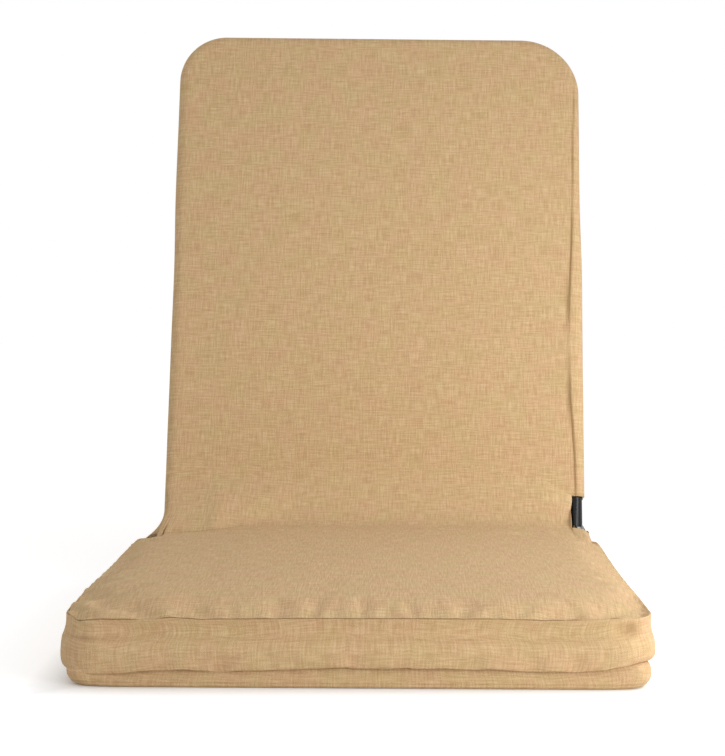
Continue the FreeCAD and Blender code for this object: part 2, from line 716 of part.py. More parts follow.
def arc_through(start, end, sagitta, height):
    """An arc from start to end that passes the middle at the sagitta, to the left of the way."""
    middle_x, middle_y = (start[0] + end[0]) / 2, (start[1] + end[1]) / 2
    along_x, along_y = end[0] - start[0], end[1] - start[1]
    length = math.hypot(along_x, along_y)
    middle = Vector(middle_x - along_y / length * sagitta, middle_y + along_x / length * sagitta, height)
    return Part.Arc(Vector(*start, height), middle, Vector(*end, height)).toShape()


def cushion_plan(inset, rear, height):
    """The cushion's outline at one height: four corner arcs, and sides that bow inwards."""
    half = s.cushion_width / 2 - inset
    front = inset - s.cushion_front
    corner = min(s.cushion_corner, half / 2)
    bulge = corner * (math.sqrt(2) - 1) / math.sqrt(2)
    bow = s.draw_in
    ring = [
        (half - corner, front), (half, front + corner), (half, rear - corner), (half - corner, rear),
        (corner - half, rear), (-half, rear - corner), (-half, front + corner), (corner - half, front),
    ]
    straight = s.running_gap
    bows = [-bulge, bow, -bulge, straight, -bulge, bow, -bulge, bow]
    edges = [
        arc_through(ring[number], ring[(number + 1) % 8], bows[number], height) for number in range(8)
    ]
    return Part.Wire(edges)


def nose(height):
    """How far back the cushion reaches: a round nose about the hinge axis."""
    drop = min(abs(height - pivot_height), s.nose_radius)
    return s.pivot_setback + math.sqrt(s.nose_radius ** 2 - drop ** 2)


def cushion_form(shrink):
    """The cushion's solid, or the same form that much smaller all round.

    Each row of the band is a share of its height and of its bulge: the underside, the bulge, the
    crease above it and the top seam. Each row of the top is a share of the crown and of half the
    cushion's width, by which it is smaller there.
    """
    half = s.cushion_width / 2
    band = [(0.0, 1.0), (0.08, 0.378), (0.17, 0.1), (0.27, 0.0), (0.4, 0.089), (0.56, 0.333),
            (0.78, 0.5), (1.0, 0.389)]
    top = [(0.25, 0.037), (0.48, 0.112), (0.68, 0.242), (0.84, 0.409), (0.95, 0.595), (1.0, 0.744)]
    insets = [part * s.band_bulge for _, part in band] + [part * half for _, part in top]

    def heights(smaller):
        low = cushion_bottom + smaller
        lower = [low + share * (seam_height - low) for share, _ in band]
        return lower + [seam_height + share * (s.crown - smaller) for share, _ in top]

    wires = [
        cushion_plan(inset + shrink, nose(outside) - shrink, height)
        for inset, outside, height in zip(insets, heights(0), heights(shrink))
    ]
    return Part.makeLoft(wires, True, True)


def hinge_cuts(grow):
    """Blocks that clear the cushion's rear corners for the hinges."""
    inner = side_x - s.cut_inside - grow
    depth = s.pivot_setback
    blocks = []
    for side in side_names:
        low_x = inner if side > 0 else -inner - s.cushion_width
        corner = Vector(low_x, s.cushion_cut_start - grow, 0)
        blocks.append(Part.makeBox(s.cushion_width, depth, 4 * pivot_height, corner))
    return blocks


def shaped(label, shape):
    made = document.addObject("Part::Feature", label)
    made.Shape = shape
    return keep(made, label)


foam_shrink = s.fabric + s.layer_gap
cushion_outside = cushion_form(0).cut(hinge_cuts(0))
cushion_inside = cushion_form(s.fabric).cut(hinge_cuts(s.fabric))
shaped("cushion_cover", cushion_outside.cut(cushion_inside))
shaped("cushion_foam", cushion_form(foam_shrink).cut(hinge_cuts(foam_shrink)))

# The link: cover fabric that runs from the back's front face round the cushion's nose.
link_inner = s.nose_radius + s.link_gap
link = new_body("cover_link")
section = new_sketch(link, "YZ_Plane")
link_start = math.radians(-s.link_down)
link_end = math.radians(s.link_up)
for radius in (link_inner, link_inner + s.link_thickness):
    rim = Part.Circle(Vector(0, 0, 0), Vector(0, 0, 1), radius)
    section.addGeometry(Part.ArcOfCircle(rim, link_start, link_end), False)
for angle in (link_start, link_end):
    side_way = Vector(math.cos(angle), math.sin(angle), 0)
    section.addGeometry(
        Part.LineSegment(side_way * link_inner, side_way * (link_inner + s.link_thickness)), False)
add_pad(link, section, str(2 * (side_x - s.cut_inside)), True)
link.Placement = hinge_place
keep(link, "cover_link")


# Base zip

zip_height = base_top / 2
chain = new_box("base_zip_chain", (-zip_half, s.base_rear, zip_height - s.zip_width / 2),
                (zip_half, s.base_rear + s.zip_thickness, zip_height + s.zip_width / 2))
keep(chain, "base_zip_chain")

# The slider closes round three sides of the chain: an outer plate and two flanges. An arch on the
# plate, in line with the travel, holds the pull's crossbar.
slider_start = s.slider_length - zip_half
slider_place = Placement(Vector(slider_start, 0, zip_height), Rotation())
slider_half = s.slider_length / 2
flange_near = s.zip_width / 2 + s.slider_gap
flange_far = flange_near + s.slider_wall
plate_near = s.base_rear + s.zip_thickness + s.slider_gap
plate_far = plate_near + s.slider_wall
arch_under = plate_far + s.pull_thickness + 2 * s.slider_gap
arch_over = arch_under + s.slider_wall
arch_inner = 2 * s.pull_thickness
arch_outer = arch_inner + s.slider_wall
arch_half = s.arch_width / 2
flange_front = s.base_rear + s.slider_gap
slider_blocks = [
    ((-slider_half, plate_near, -flange_far), (slider_half, plate_far, flange_far)),
    ((-slider_half, flange_front, flange_near), (slider_half, plate_far, flange_far)),
    ((-slider_half, flange_front, -flange_far), (slider_half, plate_far, -flange_near)),
    ((-arch_outer, arch_under, -arch_half), (arch_outer, arch_over, arch_half)),
    ((-arch_outer, plate_near, -arch_half), (-arch_inner, arch_over, arch_half)),
    ((arch_inner, plate_near, -arch_half), (arch_outer, arch_over, arch_half)),
]
slider = document.addObject("Part::MultiFuse", "zip_slider")
slider.Shapes = [new_box("slider_block", low, high, slider_place) for low, high in slider_blocks]
keep(slider, "zip_slider")

# The pull lies flat along the zip: a round crossbar under the arch, two arms beside it, and a tab.
pull_near = plate_far + s.slider_gap
pull_far = pull_near + s.pull_thickness
bar_half = s.pull_thickness / 2
arm_near = arch_half + 2 * s.slider_gap
arm_far = arm_near + s.pull_thickness
tab_start = arch_outer + 2 * s.slider_gap
arm_end = tab_start + bar_half
pull_blocks = [
    ((-bar_half, pull_near, arm_near), (arm_end, pull_far, arm_far)),
    ((-bar_half, pull_near, -arm_far), (arm_end, pull_far, -arm_near)),
    ((tab_start, pull_near, -arm_far), (s.pull_length, pull_far, arm_far)),
]
crossbar = document.addObject("Part::Cylinder", "pull_crossbar")
crossbar.setExpression("Radius", "sizes.pull_thickness / 2")
crossbar.Height = 2 * arm_far
crossbar.Placement = slider_place * Placement(Vector(0, pull_near + bar_half, -arm_far), Rotation())
pull = document.addObject("Part::MultiFuse", "zip_pull")
pull.Shapes = [new_box("pull_block", low, high, slider_place) for low, high in pull_blocks] + [crossbar]
keep(pull, "zip_pull")

document.recompute()
faults = [
    item.Name for item in document.Objects if {"Invalid", "Error"} & set(item.State)
]
for piece in nodes:
    shape = piece.Shape
    if shape.isNull() or not shape.isValid() or not shape.Solids:
        faults.append(piece.Label)
if faults:
    raise SystemExit("not built: " + ", ".join(faults))

os.makedirs("parts", exist_ok=True)
for piece in nodes:
    piece.Shape.exportStep(f"parts/{piece.Label}.step")
    print(piece.Label, len(piece.Shape.Solids), round(piece.Shape.Volume))
print("pieces", len(nodes), "fold down", s.recline - 90, "fold over", fold_angle)
print("hinge axis", tuple(pivot), "pawl pin", pawl_pin)
print("pull axis", slider_start, pull_near + bar_half, zip_height)
print("zip travel", 2 * (zip_half - s.slider_length))
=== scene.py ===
import bpy
import bmesh
import json
import numpy as np
from mathutils import Matrix


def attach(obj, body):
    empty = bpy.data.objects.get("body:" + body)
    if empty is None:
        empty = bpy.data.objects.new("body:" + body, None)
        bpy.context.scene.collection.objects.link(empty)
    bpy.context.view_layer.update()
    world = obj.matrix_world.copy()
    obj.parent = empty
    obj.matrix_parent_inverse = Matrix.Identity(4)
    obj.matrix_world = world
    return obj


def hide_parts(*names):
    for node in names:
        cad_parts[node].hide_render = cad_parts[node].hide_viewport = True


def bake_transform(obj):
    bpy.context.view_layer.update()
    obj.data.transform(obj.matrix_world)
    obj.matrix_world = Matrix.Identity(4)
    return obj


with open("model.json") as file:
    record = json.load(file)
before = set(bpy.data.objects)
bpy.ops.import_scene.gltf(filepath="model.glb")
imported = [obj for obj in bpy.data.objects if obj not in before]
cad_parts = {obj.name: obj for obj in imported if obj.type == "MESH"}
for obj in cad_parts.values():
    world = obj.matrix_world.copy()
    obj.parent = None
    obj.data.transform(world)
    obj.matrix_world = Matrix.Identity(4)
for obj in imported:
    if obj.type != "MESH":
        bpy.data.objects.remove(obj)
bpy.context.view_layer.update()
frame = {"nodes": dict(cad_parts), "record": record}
print("frame loaded:", len(frame["nodes"]), "nodes")


# The camera stands in front, a little above the seat, and looks slightly down.
cameraSetup = dict(
    place=(0.022, -1.386, 0.291), turn=0.59, dip=3.26, tilt=0.49,
    focalPixels=1660, middle=(415.5, 378.0), picture=(725, 756),
)


def addCamera(setup):
    # looks along +y, turned to the right and dipped below level, then rolled by the tilt; the lens is the
    # focal length in pixels times the sensor's width over the picture's long side
    turn, dip, tilt = np.radians([setup["turn"], setup["dip"], setup["tilt"]])
    ahead = np.array([np.sin(turn) * np.cos(dip), np.cos(turn) * np.cos(dip), -np.sin(dip)])
    level = np.array([np.cos(turn), -np.sin(turn), 0.0])
    upright = np.cross(level, ahead)
    right = np.cos(tilt) * level + np.sin(tilt) * upright
    up = np.cos(tilt) * upright - np.sin(tilt) * level
    data = bpy.data.cameras.new("camera")
    longSide = max(setup["picture"])
    data.lens = setup["focalPixels"] * data.sensor_width / longSide
    data.shift_x = (setup["picture"][0] / 2 - setup["middle"][0]) / longSide
    data.shift_y = (setup["middle"][1] - setup["picture"][1] / 2) / longSide
    seen = bpy.data.objects.new("camera", data)
    bpy.context.scene.collection.objects.link(seen)
    turned = Matrix((right, up, -ahead)).transposed().to_4x4()
    seen.matrix_world = Matrix.Translation(setup["place"]) @ turned
    bpy.context.scene.camera = seen


addCamera(cameraSetup)
print("camera placed")


# Materials

def linear(hexColour):
    # sRGB hex to linear light
    s = np.array([int(hexColour[i:i + 2], 16) for i in (1, 3, 5)]) / 255
    return (*np.where(s <= 0.04045, s / 12.92, ((s + 0.055) / 1.055) ** 2.4).tolist(), 1.0)


def addNode(tree, kind, inputs=None, **settings):
    # inputs maps a socket's name or number to a value, or to another node's socket
    node = tree.nodes.new(kind)
    for name, value in settings.items():
        setattr(node, name, value)
    for key, value in (inputs or {}).items():
        if isinstance(value, bpy.types.NodeSocket):
            tree.links.new(value, node.inputs[key])
        else:
            node.inputs[key].default_value = value
    return node


def newMaterial(name):
    # one principled shader wired to the output
    material = bpy.data.materials.new(name)
    material.use_nodes = True
    tree = material.node_tree
    tree.nodes.clear()
    shader = addNode(tree, "ShaderNodeBsdfPrincipled")
    addNode(tree, "ShaderNodeOutputMaterial", {"Surface": shader.outputs[0]})
    return material, tree, shader


def streaks(tree, coordinates, across, along, detail=2.0):
    # noise drawn out along one thread direction; across and along are sizes in metres for u and v
    spread = addNode(tree, "ShaderNodeMapping", {"Vector": coordinates, "Scale": (1 / across, 1 / along, 1.0)})
    return addNode(tree, "ShaderNodeTexNoise", {"Vector": spread.outputs[0], "Scale": 1.0, "Detail": detail})


def tinted(tree, shader, pattern, dark, light):
    # the base colour goes from dark to light as the pattern goes from 0 to 1
    tone = addNode(tree, "ShaderNodeMix", {0: pattern.outputs[0], 6: linear(dark), 7: linear(light)},
                   data_type="RGBA")
    tree.links.new(tone.outputs[2], shader.inputs["Base Color"])


def roughened(tree, shader, pattern, low, high):
    # the roughness goes from low to high as the pattern goes from 0 to 1
    rough = addNode(tree, "ShaderNodeMapRange", {"Value": pattern.outputs[0], "To Min": low, "To Max": high})
    tree.links.new(rough.outputs[0], shader.inputs["Roughness"])


def bumped(tree, shader, pattern, strength, distance):
    # the surface seems lifted by the pattern times the distance in metres, blended in by the strength
    bump = addNode(tree, "ShaderNodeBump", {"Height": pattern.outputs[0], "Strength": strength,
                                            "Distance": distance})
    tree.links.new(bump.outputs[0], shader.inputs["Normal"])


# Linen-look polyester, plain woven from uneven yarn: slubs show as short lighter and darker streaks
# both ways, and the surface is matt with a faint fuzz. Real threads are about 0.8 mm apart, too fine
# for the picture, so they are drawn 1.7 mm apart.
linen = dict(thread=0.0017, slub=0.016, patchScale=40.0, tintShare=0.19, seamShade="#8a6a42",
             dark="#b6966c", middle="#c7a87e", light="#d7bd93", warm="#d39b7c", cool="#c3ac72")


def wovenLinen(name, look):
    material, tree, shader = newMaterial(name)
    place = addNode(tree, "ShaderNodeUVMap", uv_map="weave").outputs[0]
    warp = streaks(tree, place, look["thread"] * 0.75, look["slub"], 1.0)
    weft = streaks(tree, place, look["slub"], look["thread"] * 0.75, 1.0)
    fine = streaks(tree, place, look["thread"] * 0.5, look["thread"] * 0.5, 1.0)
    both = addNode(tree, "ShaderNodeMath", {0: warp.outputs[0], 1: weft.outputs[0]}, operation="ADD")
    level = addNode(tree, "ShaderNodeMath", {0: fine.outputs[0], 1: 0.9, 2: both.outputs[0]},
                    operation="MULTIPLY_ADD")
    # the three noises average 0.5, and 0.345 of their weighted sum is about 0.5 again
    mean = addNode(tree, "ShaderNodeMath", {0: level.outputs[0], 1: 0.345}, operation="MULTIPLY")
    yarn = addNode(tree, "ShaderNodeValToRGB", {0: mean.outputs[0]})
    ramp = yarn.color_ramp
    ramp.elements[0].position, ramp.elements[0].color = 0.38, linear(look["dark"])
    ramp.elements[1].position, ramp.elements[1].color = 0.62, linear(look["light"])
    ramp.elements.new(0.5).color = linear(look["middle"])
    patch = addNode(tree, "ShaderNodeTexNoise", {"Vector": place, "Scale": look["patchScale"], "Detail": 2.0})
    warmth = addNode(tree, "ShaderNodeMapRange", {"Value": patch.outputs[0], "From Min": 0.35, "From Max": 0.65})
    tint = addNode(tree, "ShaderNodeMix", {0: warmth.outputs[0], 6: linear(look["warm"]), 7: linear(look["cool"])},
                   data_type="RGBA")
    coloured = addNode(tree, "ShaderNodeMix", {0: look["tintShare"], 6: yarn.outputs[0], 7: tint.outputs[2]},
                       data_type="RGBA")
    # painted shade: the seam mark darkens the cloth towards the seam shade colour along seams, creases, the pinch,
    # the fold and the tuck
    seamAndShade = addNode(tree, "ShaderNodeAttribute", attribute_name="seamAndShade")
    sewn = addNode(tree, "ShaderNodeMix", {
        0: seamAndShade.outputs["Fac"], 6: coloured.outputs[2], 7: linear(look["seamShade"])}, data_type="RGBA")
    tree.links.new(sewn.outputs[2], shader.inputs["Base Color"])
    # plain weave: crossing sines give the humps where warp goes over weft
    split = addNode(tree, "ShaderNodeSeparateXYZ", {0: place})
    turns = 2 * np.pi / look["thread"]
    waves = []
    for axis in (0, 1):
        angle = addNode(tree, "ShaderNodeMath", {0: split.outputs[axis], 1: turns}, operation="MULTIPLY")
        waves.append(addNode(tree, "ShaderNodeMath", {0: angle.outputs[0]}, operation="SINE").outputs[0])
    humps = addNode(tree, "ShaderNodeMath", {0: waves[0], 1: waves[1]}, operation="MULTIPLY")
    height = addNode(tree, "ShaderNodeMath", {0: humps.outputs[0], 1: 0.25, 2: level.outputs[0]},
                     operation="MULTIPLY_ADD")
    bumped(tree, shader, height, 0.5, 0.0006)
    shader.inputs["Roughness"].default_value = 0.92
    shader.inputs["Specular IOR Level"].default_value = 0.2
    shader.inputs["Sheen Weight"].default_value = 0.04
    shader.inputs["Sheen Roughness"].default_value = 0.5
    return material


# Black baked enamel on drawn steel tube: deep gloss with a slight orange peel about 2 mm wide.
def bakedEnamel(name):
    material, tree, shader = newMaterial(name)
    place = addNode(tree, "ShaderNodeTexCoord").outputs["Object"]
    peel = addNode(tree, "ShaderNodeTexNoise", {"Vector": place, "Scale": 500.0, "Detail": 1.0})
    bumped(tree, shader, peel, 0.08, 0.0003)
    wear = addNode(tree, "ShaderNodeTexNoise", {"Vector": place, "Scale": 60.0, "Detail": 3.0})
    roughened(tree, shader, wear, 0.06, 0.14)
    shader.inputs["Base Color"].default_value = linear("#0b0b0c")
    shader.inputs["Specular IOR Level"].default_value = 0.3
    return material


# Zinc-plated pressed steel: a satin grey with cloudy spangle a few millimetres wide and fine rolling marks.
def zincPlate(name):
    material, tree, shader = newMaterial(name)
    place = addNode(tree, "ShaderNodeTexCoord").outputs["Object"]
    cloud = addNode(tree, "ShaderNodeTexNoise", {"Vector": place, "Scale": 260.0, "Detail": 3.0})
    tinted(tree, shader, cloud, "#a9aaa6", "#c9cac6")
    roughened(tree, shader, cloud, 0.28, 0.48)
    marks = streaks(tree, place, 0.02, 0.0003)
    bumped(tree, shader, marks, 0.1, 0.0001)
    shader.inputs["Metallic"].default_value = 1.0
    return material


# Elastic webbing: black rubber threads covered in polyester, ribbed along its run every 2 mm.
def elasticWebbing(name):
    material, tree, shader = newMaterial(name)
    place = addNode(tree, "ShaderNodeUVMap", uv_map="weave").outputs[0]
    rib = addNode(tree, "ShaderNodeTexWave", {"Vector": place, "Scale": 160.0, "Distortion": 0.4},
                  bands_direction="Y")
    fleck = streaks(tree, place, 0.006, 0.0009)
    tinted(tree, shader, fleck, "#1b1a19", "#3d3a36")
    bumped(tree, shader, rib, 0.6, 0.0004)
    shader.inputs["Roughness"].default_value = 0.85
    return material


# Needled felt of mixed grey fibres: matt, clouded, with short tangled hairs.
def needledFelt(name):
    material, tree, shader = newMaterial(name)
    place = addNode(tree, "ShaderNodeUVMap", uv_map="weave").outputs[0]
    hairs = addNode(tree, "ShaderNodeTexNoise", {"Vector": place, "Scale": 700.0, "Detail": 4.0, "Distortion": 2.0})
    tinted(tree, shader, hairs, "#8f8b83", "#cbc6bb")
    bumped(tree, shader, hairs, 0.7, 0.0006)
    shader.inputs["Roughness"].default_value = 1.0
    return material


# Hook and loop tape in a tan dye: a dense pile of nylon loops and mushroom hooks about 1 mm apart.
def nylonPile(name):
    material, tree, shader = newMaterial(name)
    place = addNode(tree, "ShaderNodeUVMap", uv_map="weave").outputs[0]
    pile = addNode(tree, "ShaderNodeTexVoronoi", {"Vector": place, "Scale": 900.0})
    tinted(tree, shader, pile, "#b3925f", "#8a6c43")
    bumped(tree, shader, pile, 0.8, 0.0008)
    shader.inputs["Roughness"].default_value = 0.7
    return material


# Nylon coil zip: moulded coils every 1.4 mm along the run on a dyed tape.
def nylonCoil(name):
    material, tree, shader = newMaterial(name)
    place = addNode(tree, "ShaderNodeTexCoord").outputs["Object"]
    coil = addNode(tree, "ShaderNodeTexWave", {"Vector": place, "Scale": 224.0}, bands_direction="X")
    tinted(tree, shader, coil, "#8b6b43", "#c2a06f")
    bumped(tree, shader, coil, 1.0, 0.0006)
    shader.inputs["Roughness"].default_value = 0.4
    return material


# Die-cast zinc with a nickel finish, for the slider and its pull: bright, with fine polishing lines.
def nickelCasting(name):
    material, tree, shader = newMaterial(name)
    place = addNode(tree, "ShaderNodeTexCoord").outputs["Object"]
    lines = streaks(tree, place, 0.004, 0.0002)
    tinted(tree, shader, lines, "#b8b4ac", "#d6d3cc")
    roughened(tree, shader, lines, 0.16, 0.3)
    shader.inputs["Metallic"].default_value = 1.0
    return material


tanLinen = wovenLinen("tan woven linen-look polyester", linen)
blackEnamel = bakedEnamel("black baked enamel")
zincSteel = zincPlate("zinc-plated pressed steel")
webbingCloth = elasticWebbing("elastic webbing")
feltCloth = needledFelt("needled felt")
pileCloth = nylonPile("nylon hook and loop")
zipNylon = nylonCoil("moulded nylon coil")
zipMetal = nickelCasting("nickel-finished die casting")

finishOfSlot = {
    "black_enamel": blackEnamel, "zinc_steel": zincSteel, "tan_linen": tanLinen, "webbing": webbingCloth,
    "felt": feltCloth, "foam": feltCloth, "hook_and_loop": pileCloth, "zip_nylon": zipNylon, "zip_metal": zipMetal,
}
for part in frame["record"]["subparts"]:
    mesh = frame["nodes"][part["node"]].data
    mesh.materials.clear()
    mesh.materials.append(finishOfSlot[part["material_slot"]])
print("materials made")


# Shared shape helpers

def softNoise(a, b, size, seed):
    # random heights on a square lattice of the given spacing, joined by smooth steps
    count = 64
    lattice = np.random.default_rng(seed).uniform(-1, 1, (count, count))
    a, b = np.asarray(a) / size, np.asarray(b) / size
    i, j = np.floor(a).astype(int), np.floor(b).astype(int)
    s, t = a - i, b - j
    s, t = s * s * (3 - 2 * s), t * t * (3 - 2 * t)
    corner = [[lattice[(i + p) % count, (j + q) % count] for q in (0, 1)] for p in (0, 1)]
    return (corner[0][0] * (1 - s) + corner[1][0] * s) * (1 - t) + (corner[0][1] * (1 - s) + corner[1][1] * s) * t


def hump(value, middle, width):
    # a bell that is 1 at the middle and falls off over the width
    return np.exp(-((value - middle) / width) ** 2)


def rise(value, low, high):
    # a smooth step from 0 at low to 1 at high
    t = np.clip((value - low) / (high - low), 0, 1)
    return t * t * (3 - 2 * t)


def resample(grid, places, axis, wrap):
    # Catmull-Rom curves through a grid's points, read at fractional places along one axis
    count = grid.shape[axis]
    base = np.floor(places).astype(int)
    shape = [1] * grid.ndim
    shape[axis] = len(places)
    f = (places - base).reshape(shape)
    pick = [base + k for k in (-1, 0, 1, 2)]
    pick = [p % count if wrap else np.clip(p, 0, count - 1) for p in pick]
    p0, p1, p2, p3 = (np.take(grid, p, axis) for p in pick)
    return p1 + 0.5 * f * (p2 - p0 + f * (2 * p0 - 5 * p1 + 4 * p2 - p3 + f * (3 * (p1 - p2) + p3 - p0)))


def pathLength(points, axis):
    # distance walked along a grid's lines, starting at nought
    step = np.linalg.norm(np.diff(points, axis=axis), axis=-1)
    start = np.zeros_like(np.take(step, [0], axis))
    return np.concatenate([start, np.cumsum(step, axis=axis)], axis=axis)


def gridPiece(name, points, uv, material, wrap=False, keep=None, seamAndShade=None, closed=True, flip=False):
    # quads between neighbouring points of a grid; wrap joins the last column to the first
    rows, columns = points.shape[:2]
    r = np.arange(rows - 1)[:, None]
    c = np.arange(columns if wrap else columns - 1)[None, :]
    n = (c + 1) % columns
    quads = np.stack(np.broadcast_arrays(r * columns + c, r * columns + n, (r + 1) * columns + n,
                                         (r + 1) * columns + c), -1)
    cornerUv = np.stack([uv[r, c], uv[r, c + 1], uv[r + 1, c + 1], uv[r + 1, c]], -2)
    if flip:
        quads, cornerUv = quads[..., ::-1], cornerUv[..., ::-1, :]
    chosen = np.ones(quads.shape[:2], bool) if keep is None else keep
    mesh = bpy.data.meshes.new(name)
    mesh.from_pydata(points.reshape(-1, 3).tolist(), [], quads[chosen].tolist())
    layer = mesh.uv_layers.new(name="weave")
    layer.data.foreach_set("uv", cornerUv[chosen].astype(np.float32).ravel())
    # the seam mark carries painted shade for seams and creases, which the cloth's material darkens
    mark = mesh.attributes.new("seamAndShade", "FLOAT", "POINT")
    mark.data.foreach_set("value", (np.zeros(rows * columns) if seamAndShade is None else seamAndShade).astype(np.float32).ravel())
    edit = bmesh.new()
    edit.from_mesh(mesh)
    bmesh.ops.delete(edit, geom=[v for v in edit.verts if not v.link_faces], context="VERTS")
    bmesh.ops.remove_doubles(edit, verts=edit.verts, dist=1e-6)
    bmesh.ops.dissolve_degenerate(edit, edges=edit.edges, dist=1e-7)
    if closed:
        bmesh.ops.recalc_face_normals(edit, faces=edit.faces)
    edit.to_mesh(mesh)
    edit.free()
    mesh.materials.append(material)
    mesh.shade_smooth()
    piece = bpy.data.objects.new(name, mesh)
    bpy.context.scene.collection.objects.link(piece)
    return piece


def thicken(piece, thickness):
    # a wall of this thickness grown inwards from the surface
    wall = piece.modifiers.new("cloth thickness", "SOLIDIFY")
    wall.thickness = thickness
    wall.offset = -1.0
    return piece


# The back's own frame: x across, u up along the back from the hinge axis, n behind that axis.
hinge = dict(y=0.195, z=0.045, recline=15.0, noseRadius=0.02)
leanSine, leanCosine = np.sin(np.radians(hinge["recline"])), np.cos(np.radians(hinge["recline"]))


def onBack(x, u, n):
    # y = axis + u sin + n cos, z = axis + u cos - n sin, of the recline
    return np.stack(np.broadcast_arrays(
        x, hinge["y"] + u * leanSine + n * leanCosine, hinge["z"] + u * leanCosine - n * leanSine), -1)


# Back cover: a sleeve sewn from a front panel and a rear panel that wraps round the sides.
backCover = dict(
    halfWidth=0.2064, top=0.5259, hem=0.002, front=0.0229, rear=0.0450, leftCorner=0.048, rightCorner=0.060,
    edge=0.010,
    notchTop=0.047, notchInside=0.1892, notchSlant=0.0040, notchSlantFrom=0.028, notchSlantRun=0.015,
    cloth=0.0011, creaseWidth=0.0011, creaseDepth=0.0007, ridgeWidth=0.0018, hemStitch=0.018,
    flare=0.0115, flareFrom=0.032, flareRun=0.023, overPlates=0.009,
    seamHeight=(0.05, 0.09, 0.14, 0.20, 0.27, 0.34, 0.40, 0.47),
    seamPlace=(0.1965, 0.1955, 0.1925, 0.1905, 0.1935, 0.197, 0.1985, 0.2005),
)


def makeBackCover(setup):
    # from the middle plane the panels stand off by a quarter ellipse over the edge's width
    half, top, hem = setup["halfWidth"], setup["top"], setup["hem"]
    corner, edge = setup["rightCorner"], setup["edge"]
    middle, thick = (setup["front"] + setup["rear"]) / 2, (setup["rear"] - setup["front"]) / 2
    # rows: the notch, the straight run, then round the top corners, close together at the top edge
    u = np.concatenate([
        np.linspace(hem, setup["notchTop"], 16)[:-1], np.linspace(setup["notchTop"], top - corner, 100)[:-1],
        top - corner + corner * np.sin(np.radians(np.linspace(0, 90, 34)))])[:, None]

    def widthAt(radius):
        # half the width at each height: straight, then a quarter circle at the top
        over = np.clip(u - (top - radius), 0, radius)
        return half - radius + np.sqrt(radius ** 2 - over ** 2)

    width, leftWidth = widthAt(corner), widthAt(setup["leftCorner"])
    # columns: a quarter round at each side, and between them runs that meet the notch's slanted side
    notch = setup["notchInside"] + setup["notchSlant"] * np.clip(
        (u - setup["notchSlantFrom"]) / setup["notchSlantRun"], 0, 1)
    notch = np.minimum(notch, width - edge - 0.004)
    alpha = np.radians(np.linspace(0, 90, 9))[None, :-1]
    leftEdge = -leftWidth + edge * (1 - np.cos(alpha))
    rightEdge = width - edge * (1 - np.cos(alpha[:, ::-1]))
    share = np.linspace(0, 1, 84)[None, :]
    inner = -(leftWidth - edge) + (leftWidth - edge + notch) * share
    outer = notch + (width - edge - notch) * np.linspace(0, 1, 9)[None, 1:]
    x = np.concatenate([leftEdge, inner, outer, rightEdge], 1)
    radius = np.where(x < 0, setup["leftCorner"], corner)
    inCorner = (np.abs(x) > half - radius) & (u > top - radius)
    beyond = np.hypot(np.abs(x) - (half - radius), u - (top - radius))
    toEdge = np.where(inCorner, radius - beyond, np.minimum(half - np.abs(x), top - u))
    depth = thick * np.sqrt(1 - (1 - np.clip(toEdge / edge, 0, 1)) ** 2)

    # the front lies flat on the felt; slack shows as shallow waves, and the side seam as a crease
    tight = rise(toEdge, 0.0, 0.03)
    wave = 0.0004 * softNoise(x, u, 0.07, 3) + 0.0002 * softNoise(x, u, 0.025, 4)
    seamAt = np.interp(u, setup["seamHeight"], setup["seamPlace"])
    low = rise(u, 0.03, 0.06)
    high = rise(u, 0.44, 0.50)
    crease = hump(x, seamAt, setup["creaseWidth"]) * low * (1 - high)
    ridge = hump(x, seamAt + 2 * setup["creaseWidth"], setup["ridgeWidth"]) * low * (1 - high)
    frontN = middle - depth - tight * wave + setup["creaseDepth"] * crease - 0.0004 * ridge
    rearWave = 0.0005 + 0.0005 * softNoise(x, u, 0.08, 5)
    hemLine = hump(u, hem + setup["hemStitch"], 0.0012)
    rearN = middle + depth + tight * (rearWave - 0.0004 * hemLine)
    # near the hem the loose left side flares out over the hinge
    flare = setup["flare"] * (np.clip(setup["flareFrom"] - u, 0, 1) / setup["flareRun"]) ** 2.2
    sideBow = 0.0008 * softNoise(u, 0 * u, 0.09, 8) * rise(np.abs(x), half - 0.02, half)
    front = onBack(x + sideBow - flare * rise(-x, half - 0.0018, half), u + 0 * x, frontN)
    rear = onBack(x + sideBow - flare * rise(-x, half - 0.025, half), u + 0 * x, rearN)
    loop = np.concatenate([front, rear[:, -2:0:-1]], 1)
    # painted shade: the side seam's crease and the rear hem's stitch line are darkened through the seam mark
    seamAndShade = np.concatenate([0.75 * crease, np.broadcast_to(0.35 * hemLine, x.shape)[:, -2:0:-1]], 1)
    columns = loop.shape[1]
    across = np.concatenate([x, 2 * half + 0.02 - x[:, -2:0:-1], 4 * half + 0.04 + x[:, :1]], 1)
    uv = np.stack([across, np.broadcast_to(u, across.shape)], -1)
    # leave out the notch on the right, and on the left the strip that would meet the hinge plates
    c = np.arange(columns)[None, :]
    middleU = (u[1:] + u[:-1]) / 2
    first, last = leftEdge.shape[1] + share.shape[1] - 1, x.shape[1] - 1
    notched = (middleU < setup["notchTop"]) & (c >= first) & (c < last + 3)
    overPlates = (middleU < setup["overPlates"]) & (x[:-1, :1] < 0) & (c < 14)
    piece = gridPiece("backCover", loop, uv, tanLinen, wrap=True, keep=~(notched | overPlates), seamAndShade=seamAndShade)
    thicken(piece, setup["cloth"])
    return piece


back = makeBackCover(backCover)
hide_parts("back_cover")
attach(back, "back")
print("back cover made")


